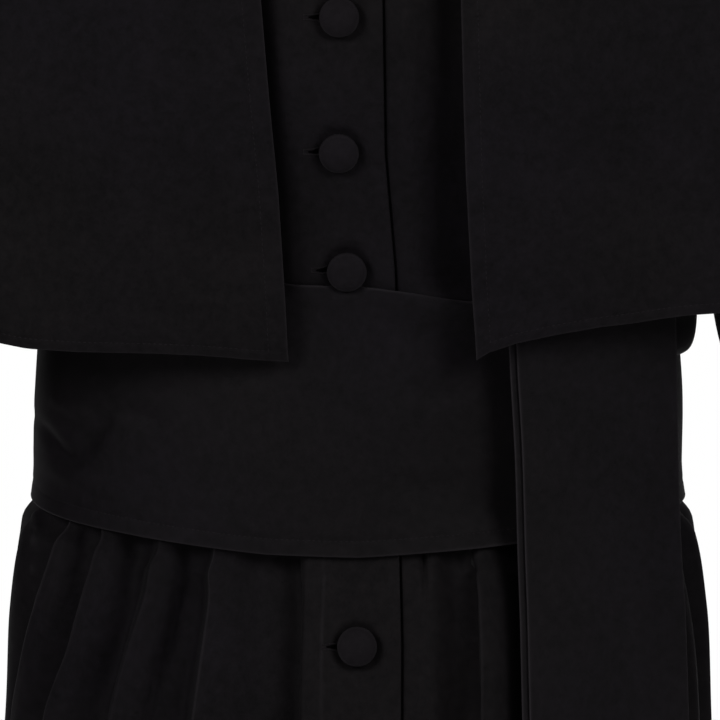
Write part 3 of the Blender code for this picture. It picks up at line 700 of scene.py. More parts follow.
def pressed(points):
    x, z = points[..., 0], points[..., 2]
    fromRight, fromLeft = x - capeEdgeX(z, "right"), capeEdgeX(z, "left") - x
    right = smooth((press["rightReach"] - fromRight) / press["rightRamp"])
    right = right * (1.0 - ease(-fromRight, *press["underCape"]))
    reach = press["leftReach"] + press["leftWiden"] * ease(-z, *press["widenDown"])
    left = smooth((reach - fromLeft) / reach)
    left = left * (1.0 - ease(-fromLeft, *press["underCape"]))
    shown = ease(-z, *press["capeFrom"]) * ease(z, *press["capeTo"])
    depth = (right * press["besideRightEdge"] + left * press["besideLeftEdge"]) * shown
    fall = smooth((press["fallReach"] - (press["fallEdge"] - x)) / press["fallReach"])
    fall = fall * (1.0 - ease(x, *press["underFall"]))
    fall = fall * ease(-z, *press["fallFrom"]) * (1.0 - ease(-z, *press["fallTo"]))
    depth = depth + fall * press["besideFall"]
    for height in buttonHeights():
        away = np.hypot(x - buttonX(height), z - height) - press["dimpleRadius"]
        depth = depth + press["dimple"] * (1.0 - smooth(away / press["dimpleWall"]))
    return np.where(points[..., 1] < 0.0, -depth, 0.0)


def ripple(points, seed, size, height, waves=14):  # a slow unevenness of the cloth
    rng = np.random.default_rng(seed)
    total = np.zeros(points.shape[:-1])
    for _ in range(waves):
        way = rng.normal(size=3)
        way *= rng.uniform(0.6, 1.7) * 2.0 * math.pi / (size * np.linalg.norm(way))
        total += np.sin(points @ way + rng.uniform(0.0, 6.28))
    return height * total / waves**0.5


# Soft troughs and ridges along short paths, in millimetres of two coordinates.
# Each row: path, width on its left, width on its right, height, and how strongly a highlight is
# painted along the crest, if any.
def creases(strokes, a, b):
    push, paintedShine = np.zeros(a.shape), np.zeros(a.shape)
    a, b = a * 1000.0, b * 1000.0
    for path, leftWidth, rightWidth, height, *worn in strokes:
        path = np.array(path, float)
        steps = np.diff(path, axis=0)
        lengths = np.linalg.norm(steps, axis=1)
        starts = np.concatenate([[0.0], np.cumsum(lengths)])
        best = np.full(a.shape, 1e9)
        side, place = np.zeros(a.shape), np.zeros(a.shape)
        for k, (step, length) in enumerate(zip(steps, lengths)):
            da, db = a - path[k, 0], b - path[k, 1]
            s = np.clip((da * step[0] + db * step[1]) / length**2, 0.0, 1.0)
            away = np.hypot(da - s * step[0], db - s * step[1])
            nearer = away < best
            best = np.where(nearer, away, best)
            side = np.where(nearer, np.sign(da * step[1] - db * step[0]), side)
            place = np.where(nearer, (starts[k] + s * length) / starts[-1], place)
        fade = np.sin(math.pi * np.clip(place, 0.03, 0.97)) ** 0.6
        push += 0.001 * height * fade * bell(best, np.where(side < 0.0, rightWidth, leftWidth))
        # a painted highlight along the crease's crest
        if worn:
            paintedShine = np.maximum(paintedShine, worn[0] * fade * bell(best, 0.7))
    return push, paintedShine


stitchRims = (-0.0014, -0.0006, 0.0, 0.0006, 0.0014)


def rimOf(stitched=None):  # distances from an edge, close again at a stitched line
    extra = [stitched + step for step in stitchRims] if stitched else []
    return np.array(list(seam["rim"]) + extra)


# Columns of a panel, close at both edges.
def panelAngles(surface, t, start, end, shares, startStitch=None, endStitch=None):
    t, start, end = (np.asarray(v, float)[:, None] for v in (t, start, end))
    first = start + rimOf(startStitch) / speed(surface, t, start)
    last = end - rimOf(endStitch) / speed(surface, t, end)
    middle = first[:, -1:] + (last[:, -1:] - first[:, -1:]) * np.asarray(shares)
    return join(first, middle, last[:, ::-1])


def panelRows(surface, degrees, stops, endStitch=None):  # rows, close at both ends
    start, end = float(stops[0]), float(stops[-1])
    pace = np.linalg.norm(surface(start + 0.02, degrees) - surface(start, degrees)) / 0.02
    first = start + rimOf() / pace
    pace = np.linalg.norm(surface(end, degrees) - surface(end - 0.02, degrees)) / 0.02
    last = end - rimOf(endStitch) / pace
    inside = [t for t in stops if first[-1] < t < last[-1]]
    return np.concatenate([first, inside, last[::-1]])


def spans(*parts):  # (start, end, steps) one after another
    stops = [np.linspace(start, end, steps, endpoint=False) for start, end, steps in parts]
    return np.append(np.concatenate(stops), parts[-1][1])


def inner(steps):
    return spans((0.0, 1.0, steps))[1:-1]


def gridNormals(points, closed=False):
    if closed:
        across = np.roll(points, -1, axis=1) - np.roll(points, 1, axis=1)
    else:
        across = np.gradient(points, axis=1)
    return unit(np.cross(np.gradient(points, axis=0), across))


def pushed(points, normals, push, closed=False):
    points = points + normals * push[..., None]
    return points, gridNormals(points, closed)


def runs(points, axis):  # distance from the first edge and from the last one
    steps = np.linalg.norm(np.diff(points, axis=axis), axis=-1)
    start = np.insert(np.cumsum(steps, axis=axis), 0, 0.0, axis=axis)
    return start, np.take(start, [-1], axis=axis) - start


def groove(distance, stitched):  # the cloth is drawn in along a row of stitches
    return -0.0003 * bell(distance - stitched, 0.0009)


def quadsOf(index, closed=False, turned=False):  # the faces between rows of point numbers
    following = np.roll(index, -1, axis=1) if closed else index[:, 1:]
    index = index if closed else index[:, :-1]
    quads = [index[:-1], index[1:], following[1:], following[:-1]]
    quads = np.stack([q.ravel() for q in quads], axis=1)
    return quads[:, ::-1] if turned else quads


def clothPiece(name, places, faces, flat):  # a smooth piece with its flat cloth coordinates
    mesh = meshOf(name, places, [], faces)
    layer = mesh.uv_layers.new(name="cloth")
    corner = np.zeros(len(mesh.loops), int)
    mesh.loops.foreach_get("vertex_index", corner)
    layer.data.foreach_set("uv", flat[corner].astype(np.float32).ravel())
    mesh.shade_smooth()
    return put(name, mesh)


# A thin closed piece whose outer face is the grid of points.
def shell(name, points, normals, closed=False, flip=False, worn=0.0, edgeHighlight=0.5):
    rows, columns = points.shape[:2]
    half = 0.5 * seam["cloth"]
    top, bottom = runs(points, 0)
    left, right = runs(points, 1)
    edge = np.minimum(top, bottom)
    if not closed:
        edge = np.minimum(edge, np.minimum(left, right))
    inset = half - np.sqrt(np.maximum(half**2 - (half - np.minimum(edge, half)) ** 2, 0.0))
    depths = (inset, seam["cloth"] - inset)
    places = [(points - normals * depth[..., None]).reshape(-1, 3) for depth in depths]
    outside = np.arange(rows * columns).reshape(rows, columns)
    inside = outside + rows * columns
    inside[0], inside[-1] = outside[0], outside[-1]
    if not closed:
        inside[:, 0], inside[:, -1] = outside[:, 0], outside[:, -1]
    faces = [quadsOf(outside, closed, flip), quadsOf(inside, closed, not flip)]
    faces = np.concatenate(faces)
    used, compact = np.unique(faces, return_inverse=True)
    across = left - left[:, columns // 2 : columns // 2 + 1]
    down = -top.mean(axis=1, keepdims=True) + 0.0 * left
    flat = np.tile(np.stack([across, down], axis=-1).reshape(-1, 2), (2, 1))[used]
    faces = compact.reshape(faces.shape).tolist()
    piece = clothPiece(name, np.concatenate(places)[used].tolist(), faces, flat)
    # Painted highlight: the colour is lightened in a thin band along every edge of the piece and
    # on the crest lines passed in.
    highlightShare = np.maximum(worn, edgeHighlight * bell(edge, 0.0006))
    paintedShine = piece.data.attributes.new("paintedShine", "FLOAT", "POINT")
    paintedShine.data.foreach_set("value", np.tile(highlightShare.ravel(), 2)[used].astype(np.float32))
    return piece


def finishPiece(piece, material, slot, nodes, **sheet):
    piece.data.materials.append(material)
    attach(piece, "root")
    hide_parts(*nodes)


def finishCloth(pieces, nodes, cuts, rests):
    for piece, node, cut, rest in zip(pieces, nodes, cuts, rests):
        sheet = dict(cut, held="hung", rests_on=[rest])
        finishPiece(piece, woolCloth, "cassock_cloth", [node], **sheet)


print("bodice")

bodice = {
    "frontScoop": 32.0,
    "backScoop": 28.0,
    "uneven": (11, 0.09, 0.00035),  # seed, size of the waves, height
    "rows": ((0.0, 2.0, 32), (2.0, 10.2, 146), (10.2, 11.0, 6)),
    "outerColumns": ((0.0, 0.62, 26), (0.62, 1.0, 56)),
    "underColumns": ((0.0, 0.45, 34), (0.45, 1.0, 20)),
    "backRows": 56,
    "backColumns": 26,
    "frontCut": {"flat": (0.26, 0.42), "area": 0.09},
    "backCut": {"flat": (0.21, 0.45), "area": 0.09},
}
mirror = np.array([-1.0, 1.0, 1.0])


def armholeAngle(t, scoop):
    f = np.clip((t - shoulderRow) / (armpitRow - shoulderRow), 0.0, 1.0)
    return 90.0 - scoop * np.sin(math.pi * f) ** 0.8


def rimmed(t, angles, start, end):  # adds the close columns of both edges to a row's angles
    rim = np.array(seam["rim"])
    first = start[:, None] + rim / speed(bodyRing, t[:, None], start[:, None])
    last = end[:, None] - rim / speed(bodyRing, t[:, None], end[:, None])
    return join(first, np.clip(angles, first[:, -1:] + 0.02, last[:, -1:] - 0.02), last[:, ::-1])


def closureColumns(t, underEdge, edge):  # columns of the under layer, close beside the edge
    near = edge - closure["closeFrom"] / speed(bodyRing, t, edge)
    far = edge + closure["closeTo"] / speed(bodyRing, t, edge)
    hidden = underEdge[:, None] + (near - underEdge)[:, None] * inner(closure["hiddenColumns"])
    close = spans((0.0, 1.0, closure["closeColumns"]))
    return join(hidden, near[:, None] + (far - near)[:, None] * close)


def finishGrid(t, angles, lift, uneven, strokes=(), slotX=None):
    points = bodyPoint(t, angles, lift)
    push = ripple(points, *uneven) + pressed(points)
    raised, paintedShine = creases(strokes, points[..., 0], points[..., 2])
    front = points[..., 1] < 0.0
    push = push + np.where(front, raised, 0.0)
    if slotX is not None:
        beside = points[..., 0] - slotX - press["slotPlace"]
        push = push - press["slot"] * bell(beside, press["slotWidth"])
    points, normals = pushed(points, gridNormals(points), push)
    return points, normals, np.where(front, paintedShine, 0.0)


# Across the front and down it, in millimetres.
bodiceCreases = (
    (((-30, -196), (-27, -225), (-30, -262)), 5, 8, -0.7),
    (((16, -262), (22, -292), (30, -330)), 5, 7, -0.9),
    (((-12, -292), (-20, -312), (-30, -334)), 5, 6, -0.8),
    (((24, -205), (27, -240), (25, -270)), 6, 6, 0.6),
    (((2, -300), (8, -318), (10, -340)), 4, 6, -0.6),
)


def makeBodice():
    t = panelRows(bodyRing, 0.0, spans(*bodice["rows"]))
    underEdge, edge, edgeX = closureEdges(t)
    side = lapped(bodyRing, t, armholeAngle(t, bodice["frontScoop"]), 1.0, 0.3)
    angles = panelAngles(bodyRing, t, -side, edge, spans(*bodice["outerColumns"])[1:-1])
    form = (bodice["uneven"], bodiceCreases)
    points, normals, paintedShine = finishGrid(t[:, None], angles, 0.0, *form)
    right = shell("bodiceFrontRight", points, normals, worn=paintedShine, edgeHighlight=0.1)
    rows = closureColumns(t, underEdge, edge)
    shares = spans(*bodice["underColumns"])[1:-1] ** 1.05
    rows = join(rows, rows[:, -1:] + (side[:, None] - rows[:, -1:]) * shares)
    angles = rimmed(t, rows, underEdge, side)
    lift = underLift(t[:, None], angles, edgeX[:, None])
    points, normals = finishGrid(t[:, None], angles, lift, *form, edgeX[:, None])[:2]
    left = shell("bodiceFrontLeft", points, normals)
    t = panelRows(bodyRing, 180.0, spans((0.0, 11.0, bodice["backRows"])))
    reach = lapped(bodyRing, t, 180.0 - armholeAngle(t, bodice["backScoop"]), -1.0, 0.3)
    centre = lapped(bodyRing, t, 180.0, 1.0, 0.5)
    angles = panelAngles(bodyRing, t, reach, centre, inner(bodice["backColumns"]))
    points, normals = finishGrid(t[:, None], angles, 0.0, bodice["uneven"])[:2]
    backLeft = shell("bodiceBackLeft", points, normals)
    backRight = shell("bodiceBackRight", points[:, ::-1] * mirror, normals[:, ::-1] * mirror)
    return right, left, backRight, backLeft


finishCloth(
    makeBodice(),
    ("bodice_front_right", "bodice_front_left", "bodice_back_right", "bodice_back_left"),
    [bodice["frontCut"]] * 2 + [bodice["backCut"]] * 2,
    ["collar"] * 4,
)

print("skirt")

skirt = {
    "rightSideFold": 5,
    "leftSideFold": 17,
    "centreFold": 11,
    "stations": (
        0.0, 0.02, 0.05, 0.10, 0.17, 0.25, 0.34, 0.43, 0.52, 0.60, 0.67, 0.73, 0.78,
        0.82, 0.86, 0.89, 0.92, 0.945, 0.965, 0.98, 0.992,
    ),
    "rows": ((11.0, 12.0, 10), (12.0, 15.0, 64), (15.0, 16.0, 10), (16.0, 20.0, 40)),
    "backRows": ((11.0, 15.0, 30), (15.0, 20.0, 50)),
    "besideButton": (-0.0130, -0.0105, -0.0080, 0.0, 0.0080, 0.0105, 0.0130),
    "besideSeam": (0.46, 0.54),  # shares of a fold, free of columns for the side seams
    "edgeColumns": 34,
    "rampColumns": 10,
    "knifeColumns": 22,
    "uneven": (21, 0.14, 0.0005),
    "backUneven": (22, 0.14, 0.0005),
    "crestHeight": 0.0004,
    # how strongly the crest lines are painted lighter: a painted highlight
    "crestHighlight": 0.6,
    "pressed": {7: 1.0, 8: 0.7, 9: 0.25, 10: 0.7, 11: 0.0, 13: 0.4},
    "pressedOthers": 0.3,
    "sideSwell": 0.0042,
    "swellPlace": (95.0, -0.466),  # angle and height, and how far each way
    "swellReach": (9.0, 0.009),
    "cuts": (
        {"flat": (0.55, 0.97), "area": 0.42},
        {"flat": (0.55, 0.97), "area": 0.41},
        {"flat": (0.95, 0.98), "area": 0.72},
    ),
}
# A fifth number in a row paints a highlight along that crease's crest.
skirtCreases = (
    (((-162, -455), (-163, -474), (-164, -489), (-163, -506)), 2, 2.6, 2.2, 0.3),
    (((-143, -462), (-143, -478), (-150, -500)), 3.5, 3.5, -1.6),
    (((-136, -463), (-137, -480), (-142, -500)), 3, 2.5, -4),
    (((-111, -468), (-112, -484), (-118, -505)), 4, 4, -3.5),
    (((-84, -466), (-84, -492), (-90, -518), (-100, -552), (-106, -590)), 4.5, 4, -5),
    (((-50, -470), (-51, -486), (-54, -505)), 4, 4, -1.8),
    (
        ((-35, -445), (-35, -500), (-36, -530), (-37, -565), (-40, -620), (-44, -700)),
        4.8, 5, -14,
    ),
    (((-17, -474), (-17, -500), (-18, -520), (-18, -575)), 0.8, 1.4, 0.6, 0.25),
    (((32, -462), (33, -485), (34, -502)), 1.4, 1.4, -3.2),
    (((32, -462), (32, -486)), 4.5, 4.5, -3),
    (((57, -420), (57.2, -475), (58.7, -520), (60, -600), (62, -720)), 3.4, 1.1, -10),
    (((49, -430), (50, -500), (51, -560), (54, -700)), 12, 6, -2.6),
    (((-100, -600), (-118, -760), (-132, -900)), 9, 12, -3.5),
    (((-62, -640), (-70, -820), (-74, -960)), 8, 12, -3),
    (((48, -660), (60, -800), (66, -1010)), 12, 9, -3),
    (((120, -720), (140, -900), (156, -1100)), 12, 9, -3.5),
    (((-40, -980), (-46, -1120), (-50, -1290)), 10, 14, -3),
    (((20, -860), (18, -1000), (21, -1180)), 7, 10, -2),
)


# Every pressed crest gets a small ridge and a painted highlight along it.
def crestRidges(t, angles, points):  # the pressed line along every crest
    z = points[..., 2]
    away = np.abs(signed(angles[..., None] - crestAngles(z)))
    away = away * speed(bodyRing, t, angles)[..., None]
    sharpness = [skirt["pressed"].get(k, skirt["pressedOthers"]) for k in range(len(folds["top"]))]
    sharpness = np.array(sharpness) * (folds["topDepth"] > 0.0)
    low = (1.0 - 0.6 * ease(-z, 0.60, 0.5)) * ease(-z, 0.44, 0.02)
    ridge = skirt["crestHeight"] * low * np.max(sharpness * bell(away, 0.0012), axis=-1)
    return ridge, skirt["crestHighlight"] * low * np.max(sharpness * bell(away, 0.0006), axis=-1)


# The cloth behind the side crests stands out to the sash's lower edge.
def sideSwell(angles, points):
    (turn, height), (around, reach) = skirt["swellPlace"], skirt["swellReach"]
    share = bell(np.abs(signed(angles)) - turn, around) * bell(points[..., 2] - height, reach)
    return skirt["sideSwell"] * share


def skirtGrid(t, angles, *form):
    points, normals, paintedShine = finishGrid(t, angles, *form)
    ridge, shine = crestRidges(t, angles, points)
    points = points + normals * (ridge + sideSwell(angles, points))[..., None]
    points[..., 2] += -2.0 * seam["halfGap"] * (t < waistRow + 0.001)
    return points, gridNormals(points), np.maximum(paintedShine, shine)


def rowCrests(t):
    index = np.arange(len(folds["top"]))
    z = np.repeat(ringHeight(bodyForm, t, 0.0)[:, None], len(index), axis=1)
    for _ in range(5):
        angles = crestAngles(z)[:, index, index]
        z = ringHeight(bodyForm, t[:, None], angles)
    return angles


def partWay(crests, fold, shares):  # columns from one crest towards the next
    start, end = crests[:, fold : fold + 1], crests[:, fold + 1 : fold + 2]
    return start + (end - start) * np.array(shares)


def stationsBetween(crests, stations):
    columns = [partWay(crests, k, stations) for k in range(crests.shape[1] - 1)]
    return join(*columns, crests[:, -1:])


def makeSkirt():
    right, leftSide, centre = skirt["rightSideFold"], skirt["leftSideFold"], skirt["centreFold"]
    stations = skirt["stations"]
    early = [s for s in stations if 0.0 < s < skirt["besideSeam"][0]]
    late = [s for s in stations if s > skirt["besideSeam"][1]]
    front = (skirt["uneven"], skirtCreases)

    heights = buttonHeights()[len(button["bodiceHeights"]) + 1 :]
    beside = (heights[:, None] + np.array(skirt["besideButton"])).ravel()
    beside = rowAt(bodyForm, beside, 0.0, 0, hemRow)
    t = panelRows(bodyRing, 0.0, np.sort(np.append(spans(*skirt["rows"]), beside)))
    crests = rowCrests(t)
    underEdge, edge, edgeX = closureEdges(t)
    rightSeam, leftSeam = (partWay(crests, fold, [0.5])[:, 0] for fold in (right, leftSide))
    rows = join(
        partWay(crests, right, late), stationsBetween(crests[:, right + 1 : centre + 1], stations)
    )
    rest = inner(skirt["edgeColumns"])
    rows = join(rows, rows[:, -1:] + (edge[:, None] - rows[:, -1:]) * rest)
    angles = rimmed(t, rows, lapped(bodyRing, t, rightSeam, -1.0), edge)
    points, normals, paintedShine = skirtGrid(t[:, None], angles, 0.0, *front)
    frontRight = shell("skirtFrontRight", points, normals, worn=paintedShine, edgeHighlight=0.1)

    knife = crests[:, centre + 2 : centre + 3]
    end = angleOfX(bodyForm, t, edgeX + closure["start"] + closure["ramp"])[:, None]
    rows = closureColumns(t, underEdge, edge)
    rows = join(
        rows,
        rows[:, -1:] + (end - rows[:, -1:]) * inner(skirt["rampColumns"]),
        end + (knife - end) * spans((0.0, 1.0, skirt["knifeColumns"]))[:-1] ** 0.8,
        stationsBetween(crests[:, centre + 2 : leftSide + 1], stations),
        partWay(crests, leftSide, early),
    )
    angles = rimmed(t, rows, underEdge, lapped(bodyRing, t, leftSeam, 1.0))
    lift = underLift(t[:, None], angles, edgeX[:, None])
    points, normals, paintedShine = skirtGrid(t[:, None], angles, lift, *front, edgeX[:, None])
    frontLeft = shell("skirtFrontLeft", points, normals, worn=paintedShine)

    t = panelRows(bodyRing, 180.0, spans(*skirt["backRows"]))
    crests = rowCrests(t)
    rightSeam, leftSeam = (partWay(crests, fold, [0.5])[:, 0] for fold in (right, leftSide))
    coarse = stations[::2]
    rows = join(
        partWay(crests, leftSide, late[::2]),
        stationsBetween(join(crests[:, leftSide + 1 :], crests[:, : right + 1] + 360.0), coarse),
        partWay(crests, right, [s for s in coarse if s in early]) + 360.0,
    )
    end = 360.0 + lapped(bodyRing, t, rightSeam, 1.0)
    angles = rimmed(t, rows, lapped(bodyRing, t, leftSeam, -1.0), end)
    points, normals, paintedShine = skirtGrid(t[:, None], angles, 0.0, skirt["backUneven"])
    return frontRight, frontLeft, shell("skirtBack", points, normals, worn=paintedShine)


finishCloth(
    makeSkirt(),
    ("skirt_front_right", "skirt_front_left", "skirt_back"),
    skirt["cuts"],
    ["sash_band"] * 3,
)

print("collar")

collar = {
    "height": 0.042,
    "base": 0.997,
    "seat": 0.0012,
    "lean": 0.035,
    "frontGap": 7.0,
    "pace": 0.0011,  # metres per degree round the neck
    "rows": 8,
    "columns": 110,
}


def makeCollar():
    down = lambda share, degrees: np.array([0.0, 0.0, -collar["height"] * float(share)])
    rise = panelRows(down, 0.0, spans((0.0, 1.0, collar["rows"])))
    turn = spans((collar["frontGap"], 360.0 - collar["frontGap"], collar["columns"]))
    rim = np.array(seam["rim"][1:]) / collar["pace"]
    turn = np.concatenate([turn[:1], turn[0] + rim, turn[2:-2], turn[-1] - rim[::-1], turn[-1:]])
    share = 1.0 - rise[:, None]  # the first row is the top edge
    points = np.repeat(bodyRing(0.0, turn)[None], len(rise), axis=0)
    points[..., :2] *= (collar["base"] - collar["lean"] * share)[..., None]
    points[..., 2] += collar["seat"] + collar["height"] * share
    return shell("collarBand", points, gridNormals(points))


finishPiece(
    makeCollar(), woolCloth, "cassock_cloth", ["collar"],
    flat=(0.40, 0.044), held="stretched", rests_on=["bodice_front_right", "bodice_front_left"],
)

print("cape")

cape = {
    "uneven": (31, 0.11, 0.0006),
    "rightStitch": 0.0100,  # rows of stitches inside the front edges and above the hem
    "leftStitch": 0.0085,
    "hemStitch": 0.0055,
    "roll": 0.0050,  # how far the front edges fall in
    "rollWidth": 0.045,
    "hemRoll": 0.0016,
    "hemRollWidth": 0.012,
    "rows": ((0.0, 4.0, 38), (4.0, 8.0, 84)),
    "columns": 104,
    "backRows": 80,
    "backColumns": 150,
    # how strongly the edges are painted lighter: a painted highlight
    "edgeHighlight": 0.6,
    "cuts": (
        {"flat": (0.36, 0.38), "area": 0.11},
        {"flat": (0.36, 0.38), "area": 0.10},
        {"flat": (0.88, 0.41), "area": 0.28},
    ),
}


def hemHeight(degrees):
    turn = signed(degrees)
    left = np.interp(np.abs(turn), capeHem["angle"], capeHem["leftZ"])
    right = np.interp(np.abs(turn), capeHem["angle"], capeHem["rightZ"])
    return np.where(turn > 0.0, left, right)


def capeBase(t, degrees):
    points = ringPoint(capeForm, t, degrees)
    settle = ease(np.asarray(t, float), 3.0, capeHemRow - 3.0) ** 2
    points[..., 2] += (hemHeight(degrees) - ringHeight(capeForm, capeHemRow, degrees)) * settle
    return points


def capePoint(t, degrees):
    t, degrees = together(t, degrees)
    away = np.abs(signed(signed(degrees)[..., None] - flutes["angle"]))
    swell = np.sum(flutes["height"] * bell(away, flutes["width"]), axis=-1)
    swell = swell * ease(t, 2.0, capeHemRow - 2.0)
    return capeBase(t, degrees) + outward(capeBase, t, degrees) * swell[..., None]


# Angle round the body and height, in degrees and millimetres.
capeCreases = (
    (((-62, -190), (-54, -260), (-50, -350)), 7, 5, 1.2),
    (((-40, -230), (-37, -300), (-38, -370)), 5, 6, -1),
    (((26, -170), (25, -260), (24.5, -372)), 3, 4, -1.2),
    (((36, -250), (37, -310), (39, -365)), 3, 3, 0.9),
    (((64, -150), (66, -240), (70, -350)), 6, 5, -1.4),
    (((100, -170), (102, -240), (101, -350)), 5, 7, -1.5),
    (((-98, -150), (-99, -250), (-96, -350)), 7, 5, -1.5),
    (((140, -120), (141, -240), (143, -360)), 5, 7, -1.3),
    (((-140, -150), (-139, -250), (-137, -360)), 7, 5, -1.3),
    (((178, -90), (180, -200), (179, -360)), 8, 6, -1.2),
)


def capeGrid(t, angles, front=None):
    points = capePoint(t[:, None], angles)
    bottom = runs(points, 0)[1]
    raised = creases(capeCreases, signed(angles) * 0.001, points[..., 2])[0]
    push = ripple(points, *cape["uneven"]) + raised
    push = push + groove(bottom, cape["hemStitch"])
    low = np.clip(1.0 - bottom / cape["hemRollWidth"], 0.0, 1.0)
    push = push - cape["hemRoll"] * low**2
    if front:
        inside = runs(points, 1)[1 if front == "right" else 0]
        settle = ease(t[:, None], 2.5, 2.5)
        near = np.clip(1.0 - inside / cape["rollWidth"], 0.0, 1.0)
        push = push - cape["roll"] * settle * near**2
        push = push + groove(inside, cape[front + "Stitch"])
    return pushed(points, gridNormals(points), push)


threads = {"cape": [], "sash": [], "cuff": []}


# A row of stitches at a distance inside one edge of a panel.
def stitchRow(group, points, normals, axis, last, distance, trim=0.0):
    inside = runs(points, axis)[1 if last else 0]
    if axis == 1:
        points, normals, inside = (np.swapaxes(v, 0, 1) for v in (points, normals, inside))
    if last:
        points, normals, inside = points[::-1], normals[::-1], inside[::-1]
    line, facing = (
        np.array(
            [
                [np.interp(distance, inside[:, k], grid[:, k, i]) for i in range(3)]
                for k in range(grid.shape[1])
            ]
        )
        for grid in (points, normals)
    )
    facing = unit(facing)
    run = np.insert(np.cumsum(np.linalg.norm(np.diff(line, axis=0), axis=1)), 0, 0.0)
    keep = (run >= trim) & (run <= run[-1] - trim)
    threads[group].append((line[keep] + facing[keep] * 0.00005, facing[keep]))


def makeCape():
    hem, pieces = cape["hemStitch"], []
    t = panelRows(capePoint, 40.0, spans(*cape["rows"]), hem)
    z = ringHeight(capeForm, t, 10.0)
    side = lapped(capeBase, t, 90.0, 1.0, 0.5)
    shares = (np.arange(1, cape["columns"]) / cape["columns"]) ** 1.15
    for front in ("right", "left"):
        edge, inset = angleOfX(capeForm, t, capeEdgeX(z, front)), cape[front + "Stitch"]
        if front == "right":
            angles = panelAngles(capeBase, t, -side, edge, 1.0 - shares[::-1], endStitch=inset)
        else:
            angles = panelAngles(capeBase, t, edge, side, shares, startStitch=inset)
        points, normals = capeGrid(t, angles, front)
        stitchRow("cape", points, normals, 1, front == "right", inset, hem)
        stitchRow("cape", points, normals, 0, True, hem, inset)
        name = "capeFront" + front.capitalize()
        pieces.append(shell(name, points, normals, edgeHighlight=cape["edgeHighlight"]))
    t = panelRows(capePoint, 180.0, spans((0.0, 8.0, cape["backRows"])), hem)
    back = lapped(capeBase, t, 90.0, -1.0, 0.5)
    angles = panelAngles(capeBase, t, back, 360.0 - back, inner(cape["backColumns"]))
    points, normals = capeGrid(t, angles)
    stitchRow("cape", points, normals, 0, True, hem, 0.001)
    return pieces + [shell("capeBack", points, normals, edgeHighlight=cape["edgeHighlight"])]


finishCloth(
    makeCape(), ("cape_front_right", "cape_front_left", "cape_back"), cape["cuts"], ["collar"] * 3
)

print("sleeves")

sleeveForm = table(
    "outerX outerZ innerX innerZ front back centreY",
    (190.5, -48.5, 170, -208, 59, 65, 0),
    (222, -74.5, 175.5, -219, 60, 64, 1),
    (246, -112, 178, -237, 60, 62, 1),
    (265, -160, 180, -260, 60, 60, 1),
    (280, -215, 181.5, -288, 58.5, 59, 2),
    (292, -272, 182.2, -318, 57, 58, 4),
    (302, -330, 182.5, -358, 56, 57, 4),
    (311, -395, 189, -405, 54, 54, 0),
    (318, -460, 203, -460, 51, 51, -8),
    (325, -525, 219, -520, 48, 48, -18),
    (331, -585, 235, -576, 46, 46, -28),
    (335, -630, 244, -619, 45, 45, -36),
)
sleeve = {
    "frontSeam": 120.0,
    "backSeam": 275.0,
    "blendRows": 2.0,
    "seamOut": 0.0011,
    "seamShrink": 0.994,
    "uneven": (41, 0.08, 0.0006),
    "cuffStitch": 0.018,
    "rows": ((0.0, 1.0, 10), (1.0, 11.0, 84)),
    "topColumns": 56,
    "underColumns": 36,
    "topCut": {"flat": (0.23, 0.62), "area": 0.112},
    "underCut": {"flat": (0.17, 0.48), "area": 0.066},
}
# Turn round the sleeve and height, in degrees and millimetres.
sleeveCreases = (
    (((180, -325), (180, -348), (181, -366), (182, -390)), 14, 14, 2.8),
    (((150, -330), (120, -352), (80, -360)), 4, 6, -2.2),
    (((165, -372), (130, -380), (92, -372)), 4, 5, -2.6),
    (((175, -402), (140, -412), (100, -418)), 5, 4, -2),
    (((200, -352), (230, -372), (262, -378)), 5, 4, -2.2),
    (((205, -395), (240, -408), (268, -402)), 5, 4, -2),
    (((150, -440), (118, -455), (96, -480)), 6, 5, -1.6),
    (((30, -250), (24, -320), (34, -400)), 6, 8, -1.4),
    (((-40, -220), (-30, -300), (-42, -380)), 7, 7, -1.5),
    (((60, -500), (40, -540), (46, -590)), 7, 6, -1.3),
    (((-30, -470), (-46, -530), (-38, -600)), 6, 7, -1.4),
    (((210, -480), (225, -530), (215, -590)), 6, 6, -1.4),
    (((70, -140), (95, -180), (105, -240)), 7, 6, -2),
    (((-60, -130), (-78, -180), (-82, -240)), 7, 6, -2),
)


def armholePoint(turn):
    turn = np.radians(turn)
    middle = 0.5 * (shoulderRow + armpitRow)
    t = middle - 0.5 * (armpitRow - shoulderRow) * np.cos(turn)
    front = armholeAngle(t, bodice["frontScoop"])
    back = 180.0 - armholeAngle(t, bodice["backScoop"])
    return bodyRing(t, np.where(np.sin(turn) >= 0.0, front, back))


def sleeveRing(t, turn):
    t, turn = together(t, turn)
    form = {name: along(values, t) for name, values in sleeveForm.items()}
    zero = np.zeros(t.shape)
    outer = np.stack([form["outerX"], zero, form["outerZ"]], -1)
    inside = np.stack([form["innerX"], zero, form["innerZ"]], -1)
    sine, cosine = np.sin(np.radians(turn)), np.cos(np.radians(turn))
    points = 0.5 * (outer + inside) + 0.5 * (outer - inside) * cosine[..., None]
    points[..., 1] += form["centreY"] - np.where(sine > 0.0, form["front"], form["back"]) * sine
    return points


def sleevePoint(t, turn):
    t, turn = together(t, turn)
    centre = 0.5 * (sleeveRing(0.0, 0.0) + sleeveRing(0.0, 180.0))
    ring = centre + (armholePoint(turn) - centre) * sleeve["seamShrink"]
    ring[..., 0] += sleeve["seamOut"]
    blend = np.clip(1.0 - t / sleeve["blendRows"], 0.0, 1.0) ** 2
    return sleeveRing(t, turn) + (ring - sleeveRing(0.0, turn)) * blend[..., None]


